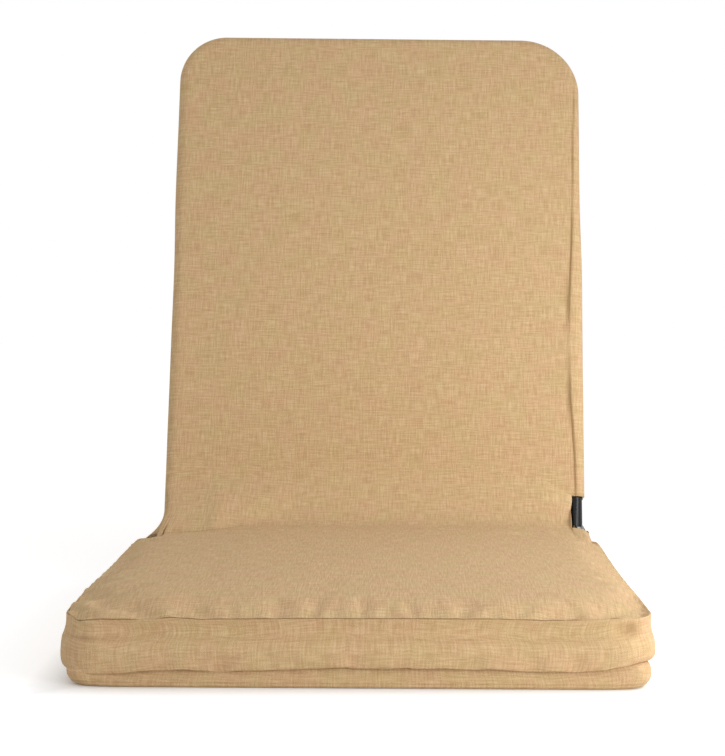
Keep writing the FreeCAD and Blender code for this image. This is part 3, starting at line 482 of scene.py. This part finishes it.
# Cushion cover: a boxed cushion. Each row of the side band is an inset from the bulge and a height;
# in front the strip above the bulge leans out towards the seam, which has its own insets.
cushion = dict(
    shift=-0.0057, halfWidth=0.2176, front=0.2105, frontCorner=0.030, rearCorner=0.007, notchInside=0.185,
    notchStart=0.162, seamHeight=0.0510, crown=0.0080, pressure=4.0, mostSwell=0.005, frames=20,
    underside=(0.03, 0.25, 0.5, 0.72, 0.88), lipMiddle=0.0168, lipBeside=0.0155, seamMiddle=0.0505,
    creaseDepth=0.0015, pinchDepth=0.0050,
    band=((15.0, 21.9), (10.0, 20.6), (6.4, 18.2), (3.6, 16.8), (1.6, 17.8), (0.3, 22.0), (0.0, 27.5),
          (0.8, 32.8), (2.2, 37.0), (3.0, 41.0), (3.2, 45.0), (3.2, 48.6), (3.4, 51.0)),
    frontInset=(15.0, 10.0, 6.4, 3.6, 1.6, 0.3, 0.0, 1.4, 4.8, 5.4, 4.4, 2.7, 1.4),
    top=((0.0, 3.4), (0.06, 5.8), (0.16, 9.3), (0.30, 15.0), (0.42, 23.0), (0.55, 35.0), (0.68, 54.0),
         (0.79, 78.0), (0.88, 106.0), (0.94, 135.0), (0.98, 165.0), (1.0, 190.0), (1.0, 207.0)),
    lipPlace=(-0.222, -0.205, -0.175, -0.160, -0.130, -0.100, -0.020, 0.088, 0.118, 0.148, 0.172, 0.183, 0.196),
    lipHeight=(11.4, 9.0, 10.0, 11.9, 13.0, 11.6, 15.0, 14.7, 13.3, 13.2, 14.6, 16.4, 18.4),
    seamPlace=(-0.214, -0.207, -0.202, -0.192, -0.156, -0.139, -0.120, -0.048, 0.024, 0.097, 0.129, 0.162, 0.180,
               0.191),
    seamLevel=(49.0, 45.8, 47.3, 48.6, 49.0, 50.7, 49.4, 50.3, 50.7, 50.8, 49.9, 50.9, 51.4, 50.6),
)


def loopThrough(corners, radii, runs, turns):
    # a closed outline of straight runs joined by quarter circles, with a fixed number of points on each
    corners = np.array(corners, float)
    into = corners - np.roll(corners, 1, 0)
    into /= np.linalg.norm(into, axis=1)[:, None]
    out = np.roll(into, -1, 0)
    pieces = []
    for k in range(len(corners)):
        r, f = radii[k], np.linspace(0, np.pi / 2, turns[k])[:, None]
        pieces.append(corners[k] + r * (out[k] - into[k] + into[k] * np.sin(f) - out[k] * np.cos(f)))
        start = corners[k] + out[k] * r
        after = (k + 1) % len(corners)
        end = corners[after] - into[after] * radii[after]
        pieces.append(start + (end - start) * np.linspace(0, 1, runs[k] + 2)[1:-1, None])
    return np.concatenate(pieces)


def notchedOutline(half, front, cutX, cutY, rear, frontRadius, rearRadius, runs, turns):
    # a rectangle from above with a square cut at both rear corners, where the hinges are
    corners = [(half, -front), (half, cutY), (cutX, cutY), (cutX, rear), (-cutX, rear), (-cutX, cutY),
               (-half, cutY), (-half, -front)]
    inner = 0.003
    radii = [frontRadius, rearRadius, inner, rearRadius, rearRadius, inner, rearRadius, frontRadius]
    return loopThrough(corners, radii, runs, turns)


def stackLevels(rows, levels):
    # rows of plan points, each with its height, become one grid of points
    plan = np.array(rows)
    level = np.broadcast_to(np.array(levels)[:, None], plan.shape[:2])
    return np.concatenate([plan, level[..., None]], -1)


def cushionOutline(setup, inset, rear):
    half, front = setup["halfWidth"] - inset, setup["front"] - inset
    cutX, cutY = setup["notchInside"] - inset, setup["notchStart"] - inset
    loop = notchedOutline(half, front, cutX, cutY, rear, setup["frontCorner"], setup["rearCorner"],
                          [44, 4, 6, 44, 6, 4, 44, 50], [10, 5, 3, 5, 5, 3, 5, 10])
    # the sides pull in between their corners by a cosine of up to 1 mm
    x, y = loop[:, 0], loop[:, 1]
    x = x - np.sign(x) * 0.0010 * np.cos(np.pi * np.clip(y / 0.2, -0.5, 0.5)) * (np.abs(x) > half - 0.001)
    return np.stack([x, y], -1)


def noseDepth(height):
    # the rear edge is a half circle about the hinge axis
    drop = min(abs(height - hinge["z"]), hinge["noseRadius"])
    return hinge["y"] + np.sqrt(hinge["noseRadius"] ** 2 - drop ** 2)


def makeCushion(setup):
    # a row is the outline moved in by its inset, at its height; the top's rows shrink towards the middle
    rows, levels = [], []
    rim = setup["band"][0]
    outline = cushionOutline(setup, rim[0] / 1000, noseDepth(rim[1] / 1000))
    for share in setup["underside"]:
        rows.append(outline * share)
        levels.append(rim[1] / 1000)
    for (inset, height), ahead in zip(setup["band"], setup["frontInset"]):
        rear = noseDepth(height / 1000)
        sides = cushionOutline(setup, inset / 1000, rear)
        front = cushionOutline(setup, ahead / 1000, rear)
        weight = rise(-sides[:, 1:], 0.16, 0.195) * (1 - rise(np.abs(sides[:, :1]), 0.16, 0.20))
        rows.append(sides + (front - sides) * weight)
        levels.append(height / 1000)
    seamRow = len(rows) - 1
    base, seamInset = rows[-1], setup["band"][-1][0]
    depth = setup["halfWidth"] - seamInset / 1000
    for rising, inset in setup["top"][1:]:
        share = 1 - (inset - seamInset) / 1000 / depth
        rows.append(base * share)
        levels.append(setup["seamHeight"] + rising * setup["crown"])
    grid = stackLevels(rows, levels)

    # the lip under the bulge and the top seam rise and fall along the front
    x, y, z = grid[..., 0] + setup["shift"], grid[..., 1], grid[..., 2]
    lip = np.interp(x, setup["lipPlace"], np.array(setup["lipHeight"]) / 1000)
    toFront = rise(-y, 0.10, 0.19)
    lip = toFront * lip + (1 - toFront) * setup["lipBeside"]
    rowNumber = np.arange(len(rows))[:, None]
    lipWeight = hump(z, setup["lipMiddle"], 0.0052) * (rowNumber > len(setup["underside"]))
    seamLevel = np.interp(x, setup["seamPlace"], np.array(setup["seamLevel"]) / 1000)
    seamLift = (seamLevel - setup["seamMiddle"]) * toFront
    seamWeight = np.exp(-((rowNumber - seamRow) / 2.2) ** 2)
    grid[..., 2] += (lip - setup["lipMiddle"]) * lipWeight + seamLift * seamWeight
    grid[..., 0] += setup["shift"]
    return grid, seamRow


def inflate(grid, setup, seamRow):
    # the cover is blown up as cloth; its underside, its seamed strip and its rear, which the back folds
    # on, are held, and no point moves further than mostSwell
    rows, columns = grid.shape[:2]
    shell = gridPiece("cushionShell", grid, np.zeros((rows, columns + 1, 2)), tanLinen, wrap=True)
    count = len(shell.data.vertices)
    before = np.empty(count * 3)
    shell.data.vertices.foreach_get("co", before)
    before = before.reshape(-1, 3)
    held = shell.vertex_groups.new(name="held")
    rowOf = np.repeat(np.arange(rows), columns)[:count]
    still = (rowOf < 8) | ((rowOf > 10) & (rowOf <= seamRow)) | (before[:, 1] > 0.165)
    held.add(np.flatnonzero(still).tolist(), 1.0, "REPLACE")
    cloth = shell.modifiers.new("swell", "CLOTH")
    cloth.settings.quality = 5
    cloth.settings.mass = 0.3
    cloth.settings.tension_stiffness = 30
    cloth.settings.compression_stiffness = 30
    cloth.settings.shear_stiffness = 12
    cloth.settings.bending_stiffness = 1.5
    cloth.settings.shrink_min = -0.012
    cloth.settings.use_pressure = True
    cloth.settings.uniform_pressure_force = setup["pressure"]
    cloth.settings.vertex_group_mass = "held"
    cloth.settings.effector_weights.gravity = 0
    cloth.point_cache.frame_start, cloth.point_cache.frame_end = 1, setup["frames"]
    scene = bpy.context.scene
    for number in range(1, setup["frames"] + 1):
        scene.frame_set(number)
    blown = shell.evaluated_get(bpy.context.evaluated_depsgraph_get())
    after = np.empty(count * 3)
    blown.data.vertices.foreach_get("co", after)
    scene.frame_set(1)
    move = after.reshape(-1, 3) - before
    size = np.linalg.norm(move, axis=1, keepdims=True)
    move *= np.minimum(1, setup["mostSwell"] / np.maximum(size, 1e-9))
    print("cushion swelled by up to", round(float(size.max()) * 1000, 1), "mm before the cap, mean",
          round(float(size.mean()) * 1000, 2), "points", count, "of", rows * columns)
    whole = count == rows * columns
    bpy.data.objects.remove(shell)
    return grid + move.reshape(rows, columns, 3) if whole else grid


def closePoles(grid):
    # one more row at each end, drawn together in a point, closes the underside and the top
    first, last = grid[:1].mean(1, keepdims=True), grid[-1:].mean(1, keepdims=True)
    wide = (1, grid.shape[1], 1)
    return np.concatenate([np.tile(first, wide), grid, np.tile(last, wide)])


def closedPiece(name, grid, uv, seamAndShade):
    # the same grid with both poles drawn together, where the painted seam and crease shade and the weave are nought
    closed = closePoles(grid)
    uv = np.concatenate([uv[:1] * 0, uv, uv[-1:] * 0])
    seamAndShade = np.broadcast_to(seamAndShade, grid.shape[:2])
    seamAndShade = np.concatenate([seamAndShade[:1] * 0, seamAndShade, seamAndShade[-1:] * 0])
    return gridPiece(name, closed, uv, tanLinen, wrap=True, seamAndShade=seamAndShade)


def bandUv(ring, rimRow, lastRow):
    # on the band: length round the outline and distance up from the rim; elsewhere the plan itself
    length = pathLength(ring[rimRow:lastRow + 1], 1).mean(0)[None, :]
    up = pathLength(ring, 0)
    return np.stack(np.broadcast_arrays(length, up - up[rimRow:rimRow + 1]), -1)


def finishCushion(grid, setup, seamRow):
    # curves through the coarse rows, closest near the seam; the skin is then pushed along its outward side
    last = grid.shape[0] - 1
    dense = np.concatenate([
        np.arange(0, 5, 0.5), np.arange(5, seamRow - 1, 1 / 4), np.arange(seamRow - 1, seamRow + 1, 1 / 6),
        np.arange(seamRow + 1, seamRow + 5, 1 / 3), np.arange(seamRow + 5, last, 0.5), [last]])
    fine = resample(grid, dense, 0, False)
    columns = grid.shape[1]
    fine = resample(fine, np.arange(0, columns, 0.5), 1, True)
    plain = np.concatenate([fine, fine[:, :1]], 1)
    x, y, z = fine[..., 0], fine[..., 1], fine[..., 2]
    height = np.broadcast_to(dense[:, None], x.shape)
    outward = np.stack([x - setup["shift"], y, 0 * x], -1)
    beside = np.abs(outward[..., 0]) > np.abs(outward[..., 1]) * (setup["halfWidth"] / setup["front"])
    outward = np.where(beside[..., None], outward * (1, 0, 0), outward * (0, 1, 0))
    outward /= np.maximum(np.linalg.norm(outward, axis=-1, keepdims=True), 1e-9)
    onSide = rise(height, 6, 8) * (1 - rise(height, seamRow - 0.5, seamRow + 0.5))
    toFront = rise(-y, 0.15, 0.20)

    # the seam is a narrow groove with the cloth rolled over it; it fades out round the right corner
    away = height - seamRow
    along = pathLength(fine, 1)
    shown = 1 - 0.9 * rise(x, 0.174, 0.190)
    groove = np.exp(-(away / 0.22) ** 2) * shown
    roll = np.exp(-((away - 0.75) / 0.5) ** 2) * shown
    gather = softNoise(along, 0 * along, 0.011, 12) * toFront * (1 - rise(np.abs(x), 0.17, 0.20))
    push = -0.0016 * groove + (0.0006 + 0.0002 * gather) * roll
    # slack in the band: low waves, the crease at the left end and the pinch at the right one
    push = push + onSide * (0.0009 * softNoise(along, z, 0.05, 14) + 0.0003 * softNoise(along, z * 2, 0.018, 15))
    crease = hump(z, 0.0352 + 0.05 * (x + 0.197) ** 2, 0.0013) * hump(x, -0.200, 0.017) * toFront
    pinch = hump(x, 0.1890, 0.0075) * hump(z, 0.0425, 0.0050) * rise(-y, 0.12, 0.17)
    push = push - setup["creaseDepth"] * crease - setup["pinchDepth"] * pinch
    # at the rear nothing stands out towards the back and the hinges
    push = np.where(y > 0.15, np.minimum(push, 0), push)
    fine = fine + push[..., None] * outward
    # the top's slack shows as shallow waves
    topPart = rise(height, seamRow + 1, seamRow + 4)
    fine[..., 2] += topPart * (0.0005 * softNoise(x, y, 0.06, 17) + 0.00025 * softNoise(x, y, 0.022, 18))

    # painted shade: the top seam's groove, the crease at the left end and the pinch at the right one are darkened
    # through the seam mark
    seamAndShade = 0.5 * np.exp(-(away / 0.16) ** 2) * shown + 0.3 * crease + 0.3 * pinch
    top = height >= seamRow
    bandStart = 16
    band = bandUv(plain, bandStart, int(np.flatnonzero(dense <= seamRow)[-1]))
    flat = np.concatenate([top | (height < 6), (top | (height < 6))[:, :1]], 1)[..., None]
    uv = np.where(flat, plain[..., :2], band)
    return closedPiece("cushionCover", fine, uv, seamAndShade), fine[dense >= seamRow]


coarse, seamRow = makeCushion(cushion)
coarse = inflate(coarse, cushion, seamRow)
cushionPiece, cushionTop = finishCushion(coarse, cushion, seamRow)
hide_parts("cushion_cover", "cushion_foam")
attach(cushionPiece, "seat")
print("cushion made")


# Base cover: a thin flat bag over the seat frame. Its wall comes forward towards the floor, where a
# seam runs round it.
baseCover = dict(
    shift=-0.0045, halfWidth=0.2120, front=0.2085, rear=0.190, corner=0.014, notchInside=0.185, notchStart=0.162,
    thick=0.0201, rearCorner=0.003, shares=(0.02, 0.3, 0.6, 0.85),
    profile=((13.0, 20.1), (10.0, 19.9), (8.2, 19.0), (6.8, 17.2), (5.4, 15.0), (4.0, 12.6), (2.7, 10.0), (1.6, 7.4),
             (0.7, 5.0), (0.2, 3.3), (0.4, 1.6), (1.8, 0.5), (6.0, 0.0)),
    sideInset=(13.0, 8.0, 4.0, 1.6, 0.6, 0.1, 0.0, 0.4, 1.2, 2.0, 3.2, 5.0, 9.0),
)


def makeBase(setup):
    # a row is the outline moved in by its inset, at its height; flat panels above and below close it
    def outline(inset):
        half, front, rear = setup["halfWidth"] - inset, setup["front"] - inset, setup["rear"] - inset
        cutX, cutY = setup["notchInside"] - inset, setup["notchStart"] - inset
        return notchedOutline(half, front, cutX, cutY, rear, setup["corner"], setup["rearCorner"],
                              [60, 4, 8, 70, 8, 4, 60, 80], [12, 4, 3, 4, 4, 3, 4, 12])

    rim, shares = outline(setup["profile"][0][0] / 1000), setup["shares"]
    rows = [rim * share for share in shares]
    levels = [setup["thick"]] * len(shares)
    for (inset, height), beside in zip(setup["profile"], setup["sideInset"]):
        front, sides = outline(inset / 1000), outline(beside / 1000)
        weight = rise(-sides[:, 1:], 0.15, 0.19) * (1 - rise(np.abs(sides[:, :1]), 0.17, 0.204))
        rows.append(sides + (front - sides) * weight)
        levels.append(height / 1000)
    rows += [rim * share for share in shares[::-1]]
    levels += [0.0] * len(shares)
    grid = stackLevels(rows, levels)
    places = np.concatenate([np.arange(0, 4), np.arange(4, 16, 1 / 4), np.arange(16, 21)])
    grid = resample(grid, places, 0, False)
    plain = np.concatenate([grid, grid[:, :1]], 1)
    x, y, z = grid[..., 0], grid[..., 1], grid[..., 2]
    row = places[:, None]
    along = pathLength(grid, 1)
    side = np.exp(-((row - 9.0) / 3.0) ** 2)
    seamAndShade = np.exp(-((row - 12.9) / 0.30) ** 2)
    wide = np.abs(x) > np.abs(y) * 1.03
    outward = np.where(wide[..., None], np.stack([np.sign(x), 0 * x], -1), np.stack([0 * x, np.sign(y)], -1))
    push = side * (0.0007 * softNoise(along, z, 0.05, 21) + 0.0003 * softNoise(along, z, 0.015, 22)) - 0.0005 * seamAndShade
    grid[..., :2] += push[..., None] * outward
    grid[..., 2] = np.clip(grid[..., 2], 0.0, setup["thick"])
    grid[..., 0] += setup["shift"]
    flat = ((row < 4.5) | (row > 15.5))[..., None]
    uv = np.where(flat, plain[..., :2], bandUv(plain, 8, len(places) - 9))
    # painted shade: the seam row is also darkened a little through the seam mark
    return closedPiece("baseCover", grid, uv, 0.2 * seamAndShade)


base = makeBase(baseCover)
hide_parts("base_cover")
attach(base, "seat")
print("base made")


# Hinge panel: the cover cloth that runs from the seat's top over the hinges and up the back's front.
# Its bend is sharp at the left end and wide from the middle on; right of the notch a free flap of it
# lies over the hinge.
hingePanel = dict(
    left=-0.2035, notch=0.1872, right=0.2035, cloth=0.0009, start=0.118, sink=0.0015,
    place=(-0.21, -0.15, -0.08, 0.10, 0.165, 0.19), cornerY=(0.162, 0.165, 0.198, 0.203, 0.202, 0.199),
    cornerZ=(0.0545, 0.0560, 0.0600, 0.0612, 0.0612, 0.0610), tightness=(0.003, 0.006, 0.026, 0.032, 0.026, 0.012),
    meet=(0.058, 0.060, 0.062, 0.064, 0.060, 0.040), top=(0.095, 0.095, 0.095, 0.095, 0.085, 0.052),
    flapEnd=(0.192, 0.60), restRun=0.016, bow=0.0052, tuckPlace=-0.1975, tuckWidth=0.0007, tuckDepth=0.0015,
    foldRow=17,
)


def makeHingePanel(setup, cushionTop, cover):
    # a column is a path in y and z: along the seat, an arc at the hinge, then straight up the back
    fineEnd = -0.194
    rising = np.concatenate([np.linspace(setup["left"], fineEnd, 24)[:-1],
                             np.linspace(fineEnd, setup["notch"], 118)])
    loose = np.linspace(setup["notch"] + 0.0006, setup["right"], 10)
    x = np.concatenate([rising, loose])
    pick = lambda key: np.interp(x, setup["place"], setup[key])

    def lie(depth):
        # height of the cushion's top under each column at a given depth
        far = ((cushionTop[None, ..., 0] - x[:, None, None]) ** 2
               + (cushionTop[None, ..., 1] - depth[:, None, None]) ** 2)
        return cushionTop[..., 2].ravel()[far.reshape(len(x), -1).argmin(1)]

    # the back's front face falls away towards its edge
    middle, thick = (cover["front"] + cover["rear"]) / 2, (cover["rear"] - cover["front"]) / 2
    toEdge = np.clip((cover["halfWidth"] - np.abs(x)) / cover["edge"], 0, 1)
    face = middle - thick * np.sqrt(1 - (1 - toEdge) ** 2)
    cornerY = pick("cornerY")
    cornerZ = np.maximum(pick("cornerZ"), lie(cornerY) + 0.0008)
    startY = setup["start"] + 0 * x
    start = np.stack([startY, lie(startY) - setup["sink"]], -1)
    restY = startY + setup["restRun"]
    rest = np.stack([restY, lie(restY) + 0.0007], -1)
    corner = np.stack([cornerY, cornerZ], -1)
    touch = onBack(x, pick("meet"), face - 0.0003)[..., 1:]
    end = onBack(x, pick("top"), face + 0.0012)[..., 1:]
    # right of the notch the cloth lies flat and ends in a slanting cut
    flap = x > setup["notch"]
    flapY = setup["flapEnd"][0] - (x - setup["notch"]) * setup["flapEnd"][1]
    flapEnd = np.stack([flapY, 0.0614 - 0.06 * (x - setup["notch"])], -1)
    lowCorner = rest + 0.6 * (flapEnd - rest)
    corner = np.where(flap[:, None], lowCorner, corner)
    touch = np.where(flap[:, None], flapEnd, touch)

    def arc(before, at, after, reach, count):
        # quadratic arc that leaves each straight at the given reach from the corner
        a = at + (before - at) * (reach / np.linalg.norm(before - at, axis=-1))[:, None]
        b = at + (after - at) * (reach / np.linalg.norm(after - at, axis=-1))[:, None]
        t = np.linspace(0, 1, count)[:, None, None]
        return (1 - t) ** 2 * a + 2 * t * (1 - t) * at + t * t * b

    low = arc(rest, corner, touch, pick("tightness"), 15)
    high = arc(corner, touch, end, 0.008 + 0 * x, 9)
    t = np.linspace(0, 1, 6)[:, None, None]
    path = np.concatenate([
        (start + (rest - start) * t)[:-1], (rest + (low[0] - rest) * t)[:-1], low,
        (low[-1] + (high[0] - low[-1]) * t)[1:-1], high, (high[-1] + (end - high[-1]) * t)[1:]])
    risingRows = 10 + 15 + 2
    y, z = path[..., 0], path[..., 1]
    across = np.broadcast_to(x, y.shape)
    # the cut edge beside the notch leans outwards as it rises
    lean = 0.0025 * rise(z, 0.061, 0.068) + 0.0030 * rise(z, 0.068, 0.0815)
    across = across + lean * rise(across, 0.165, setup["notch"]) * (across <= setup["notch"])
    # at the left end the cloth's edge stays in line with the back's edge as it comes forward
    bow = rise(z, 0.058, 0.069) * (1 - rise(z, 0.078, 0.093))
    across = across + setup["bow"] * bow * rise(-x, 0.165, -setup["left"])
    # and a short tuck in it runs up from the seat
    tuck = hump(across, setup["tuckPlace"], setup["tuckWidth"]) * (1 - rise(z, 0.059, 0.066))
    tuck = tuck * (y > setup["start"] + 0.03)
    y, z = y + setup["tuckDepth"] * tuck, z - setup["tuckDepth"] * tuck
    # over the hinge the outer edge turns down
    z = z - 0.0030 * np.clip((np.abs(across) - 0.1975) / 0.006, 0, 1) ** 2 * (y < 0.205)
    z = z + 0.0003 * softNoise(across, y, 0.03, 31)
    grid = np.stack([across, y, z], -1)
    uv = np.stack([np.broadcast_to(x, y.shape), pathLength(grid, 0) + setup["start"]], -1)
    row = np.arange(y.shape[0])[:, None]
    overHinge = flap[1:] & (row[:-1] >= risingRows)
    # painted shade: a dark line along the fold row at the left end, and darker cloth in the tuck
    foldShade = hump(row, setup["foldRow"], 1.6) * (1 - rise(np.broadcast_to(x, y.shape), -0.15, -0.09))
    panel = gridPiece("hingePanel", grid, uv, tanLinen, keep=~overHinge, seamAndShade=0.30 * foldShade + 0.9 * tuck,
                      closed=False)
    return thicken(panel, setup["cloth"])


panel = makeHingePanel(hingePanel, cushionTop, backCover)
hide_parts("cover_link")
onBack(0.0, 0.075, 0.022).tolist()
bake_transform(panel)
print("hinge panel made")


# Elastic webbing: flat loops drawn tight round both side tubes, a little narrower between them.
webbing = dict(tubePlace=0.196, radius=0.0089, width=0.0398, thickness=0.0008, narrowing=0.0012,
               seatHeight=0.010, backHeight=0.035, seatFirst=-0.108, seatPitch=0.062, backFirst=0.118,
               backPitch=0.064)


def webbingLoop(name, setup, centre, place):
    # the loop is a long racetrack: two straight runs and a half turn of the radius at each side tube
    turn = np.linspace(-np.pi / 2, np.pi / 2, 17)
    run = np.linspace(-1, 1, 40)[1:-1] * setup["tubePlace"]
    r = setup["radius"]
    x = np.concatenate([setup["tubePlace"] + r * np.cos(turn), -run, -setup["tubePlace"] - r * np.cos(turn), run])
    h = np.concatenate([r * np.sin(turn), r + 0 * run, -r * np.sin(turn), -r + 0 * run])
    across = np.linspace(-0.5, 0.5, 9)[:, None]
    tight = setup["width"] - setup["narrowing"] * np.clip(1 - (x / setup["tubePlace"]) ** 2, 0, 1)
    points = place(x[None, :] + 0 * across, centre + across * tight[None, :], h[None, :] + 0 * across)
    ring = np.concatenate([points, points[:, :1]], 1)
    uv = np.stack([np.broadcast_to(across * setup["width"], ring.shape[:2]), pathLength(ring, 1)], -1)
    piece = gridPiece(name, points, uv, webbingCloth, wrap=True, closed=False, flip=True)
    return thicken(piece, setup["thickness"])


def inSeat(x, along, height):
    # level, at the seat tube's height
    return np.stack(np.broadcast_arrays(x, along, webbing["seatHeight"] + height), -1)


def inBack(x, along, height):
    # along the back, at its tube's depth
    return onBack(x, along, webbing["backHeight"] - height)


for label, count, first, pitch, place, body in (
        ("seatWebbing", 4, webbing["seatFirst"], webbing["seatPitch"], inSeat, "seat"),
        ("backWebbing", 6, webbing["backFirst"], webbing["backPitch"], inBack, "back")):
    for k in range(count):
        loop = webbingLoop(f"{label}{k + 1}", webbing, first + k * pitch, place)
        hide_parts("seat_webbing" if body == "seat" else "back_webbing")
        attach(loop, body)
print("webbing made")


# Felt pad: a slab over the back's webbing, sunk a little between the loops.
feltPad = dict(halfWidth=0.187, low=0.022, high=0.514, corner=0.038, near=0.0239, thickness=0.0020, sink=0.0004)


def makeFeltPad(setup):
    # flat with round upper corners, dipped by a cosine between the loops
    u = np.concatenate([np.linspace(setup["low"], setup["high"] - setup["corner"], 90)[:-1],
                        setup["high"] - setup["corner"] * (1 - np.sin(np.radians(np.linspace(0, 90, 12))))])[:, None]
    over = np.clip(u - (setup["high"] - setup["corner"]), 0, setup["corner"])
    half = setup["halfWidth"] - setup["corner"] + np.sqrt(setup["corner"] ** 2 - over ** 2)
    x = np.linspace(-1, 1, 60)[None, :] * half
    between = 0.5 + 0.5 * np.cos(2 * np.pi * (u - webbing["backFirst"]) / webbing["backPitch"])
    dip = setup["sink"] * (1 - between) * np.cos(np.pi * np.clip(x / 0.4, -0.5, 0.5))
    front = onBack(x, u + 0 * x, setup["near"] + 0.0001 + dip)
    uv = np.stack(np.broadcast_arrays(x, u), -1)
    piece = gridPiece("feltPad", front, uv, feltCloth, closed=False)
    return thicken(piece, setup["thickness"] - 0.0003)


felt = makeFeltPad(feltPad)
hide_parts("back_pad")
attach(felt, "back")
print("felt pad made")


# Hook and loop strips: two pairs of narrow tapes between the base and the cushion.
tapes = dict(width=0.0198, length=0.2996, place=0.120, hookLow=0.0201, loopLow=0.0209, thickness=0.0007)


def makeTape(name, setup, x, low):
    # a flat strip whose pile stands up to 0.1 mm unevenly
    across = np.linspace(-0.5, 0.5, 6)[None, :] * setup["width"]
    y = np.linspace(-0.5, 0.5, 60)[:, None] * setup["length"]
    top = low + setup["thickness"] - 0.0001 * np.abs(softNoise(y + 0 * across, across, 0.01, 41))
    grid = np.stack(np.broadcast_arrays(x + across, y, top), -1)
    piece = gridPiece(name, grid, grid[..., :2], pileCloth, closed=False)
    return thicken(piece, setup["thickness"] - 0.0002)


for side, sign in (("Left", -1), ("Right", 1)):
    for kind, low, node in (("hook", tapes["hookLow"], "hook_strips"), ("loop", tapes["loopLow"], "loop_strips")):
        tape = makeTape(f"{kind}Tape{side}", tapes, sign * tapes["place"], low)
        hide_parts(node)
        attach(tape, "seat")
print("hook and loop tapes made")


# Stage, lights and world

# the floor's added light is lower beside the base, a painted contact shadow, set by the near glow and its run
lights = dict(
    sky=0.70, floor="#f4f4f4", glow=0.40, paintedShadowGlow=0.10, paintedShadowRun=0.035, baseHalf=(0.212, 0.205),
    front=dict(place=(0.60, -0.70, 0.22), aim=(0.0, -0.1, 0.05), size=0.4, power=2.9),
    side=dict(place=(0.60, -0.10, 0.40), aim=(0.0, -0.1, 0.05), size=0.4, power=2.1),
)


def addLamp(name, setup):
    # a square lamp whose axis runs from its place to its aim
    data = bpy.data.lights.new(name, "AREA")
    data.size, data.energy = setup["size"], setup["power"]
    lamp = bpy.data.objects.new(name, data)
    bpy.context.scene.collection.objects.link(lamp)
    away = np.array(setup["place"]) - np.array(setup["aim"])
    away /= np.linalg.norm(away)
    across = np.cross((0, 0, 1), away)
    across /= np.linalg.norm(across)
    turned = Matrix((across, np.cross(away, across), away)).transposed().to_4x4()
    lamp.matrix_world = Matrix.Translation(setup["place"]) @ turned


def whiteWorld(strength):
    # plain white to camera, glossy and transmission rays; to all others a light of the given strength
    world = bpy.data.worlds.new("white studio")
    world.use_nodes = True
    tree = world.node_tree
    tree.nodes.clear()
    path = addNode(tree, "ShaderNodeLightPath")
    seen = addNode(tree, "ShaderNodeMath", {0: path.outputs["Is Camera Ray"], 1: path.outputs["Is Glossy Ray"]},
                   operation="MAXIMUM")
    seen = addNode(tree, "ShaderNodeMath", {0: seen.outputs[0], 1: path.outputs["Is Transmission Ray"]},
                   operation="MAXIMUM")
    lit = addNode(tree, "ShaderNodeBackground", {"Color": (1, 1, 1, 1), "Strength": strength})
    shown = addNode(tree, "ShaderNodeBackground", {"Color": (1, 1, 1, 1), "Strength": 1.0})
    mix = addNode(tree, "ShaderNodeMixShader", {0: seen.outputs[0], 1: lit.outputs[0], 2: shown.outputs[0]})
    addNode(tree, "ShaderNodeOutputWorld", {"Surface": mix.outputs[0]})
    bpy.context.scene.world = world


def addFloor(setup):
    # a white floor: its own diffuse light plus a little more for the camera, so shadows stay; near the base less is
    # added, a painted contact shadow
    reach, below = 6, 0.0002
    x, y = np.meshgrid(*[np.linspace(-reach, reach, 3)] * 2)
    grid = np.stack([x, y, 0 * x - below], -1)
    material, tree, shader = newMaterial("white floor")
    shader.inputs["Base Color"].default_value = linear(setup["floor"])
    shader.inputs["Roughness"].default_value = 1.0
    shader.inputs["Specular IOR Level"].default_value = 0.0
    path = addNode(tree, "ShaderNodeLightPath")
    # painted contact shadow: the added light drops within a few centimetres of the base, so the floor there is
    # darker than its real shadow alone makes it
    split = addNode(tree, "ShaderNodeSeparateXYZ", {0: addNode(tree, "ShaderNodeTexCoord").outputs["Object"]})
    beyond = []
    for axis, halfSize in enumerate(setup["baseHalf"]):
        size = addNode(tree, "ShaderNodeMath", {0: split.outputs[axis]}, operation="ABSOLUTE")
        beyond.append(addNode(tree, "ShaderNodeMath", {0: size.outputs[0], 1: halfSize}, operation="SUBTRACT"))
    away = addNode(tree, "ShaderNodeMath", {0: beyond[0].outputs[0], 1: beyond[1].outputs[0]}, operation="MAXIMUM")
    paintedShadowFade = addNode(tree, "ShaderNodeMapRange", {
        "Value": away.outputs[0], "From Min": 0.0, "From Max": setup["paintedShadowRun"],
        "To Min": setup["paintedShadowGlow"], "To Max": setup["glow"]})
    glow = addNode(tree, "ShaderNodeEmission", {"Color": (1, 1, 1, 1), "Strength": paintedShadowFade.outputs[0]})
    none = addNode(tree, "ShaderNodeEmission", {"Color": (0, 0, 0, 1), "Strength": 0.0})
    pick = addNode(tree, "ShaderNodeMixShader",
                   {0: path.outputs["Is Camera Ray"], 1: none.outputs[0], 2: glow.outputs[0]})
    total = addNode(tree, "ShaderNodeAddShader", {0: shader.outputs[0], 1: pick.outputs[0]})
    output = next(n for n in tree.nodes if n.type == "OUTPUT_MATERIAL")
    tree.links.new(total.outputs[0], output.inputs["Surface"])
    floor = gridPiece("floor", grid, grid[..., :2], material, closed=False)


addFloor(lights)
addLamp("front", lights["front"])
addLamp("side", lights["side"])
whiteWorld(lights["sky"])
bpy.context.scene.view_settings.view_transform = "Standard"
print("stage and lights made")
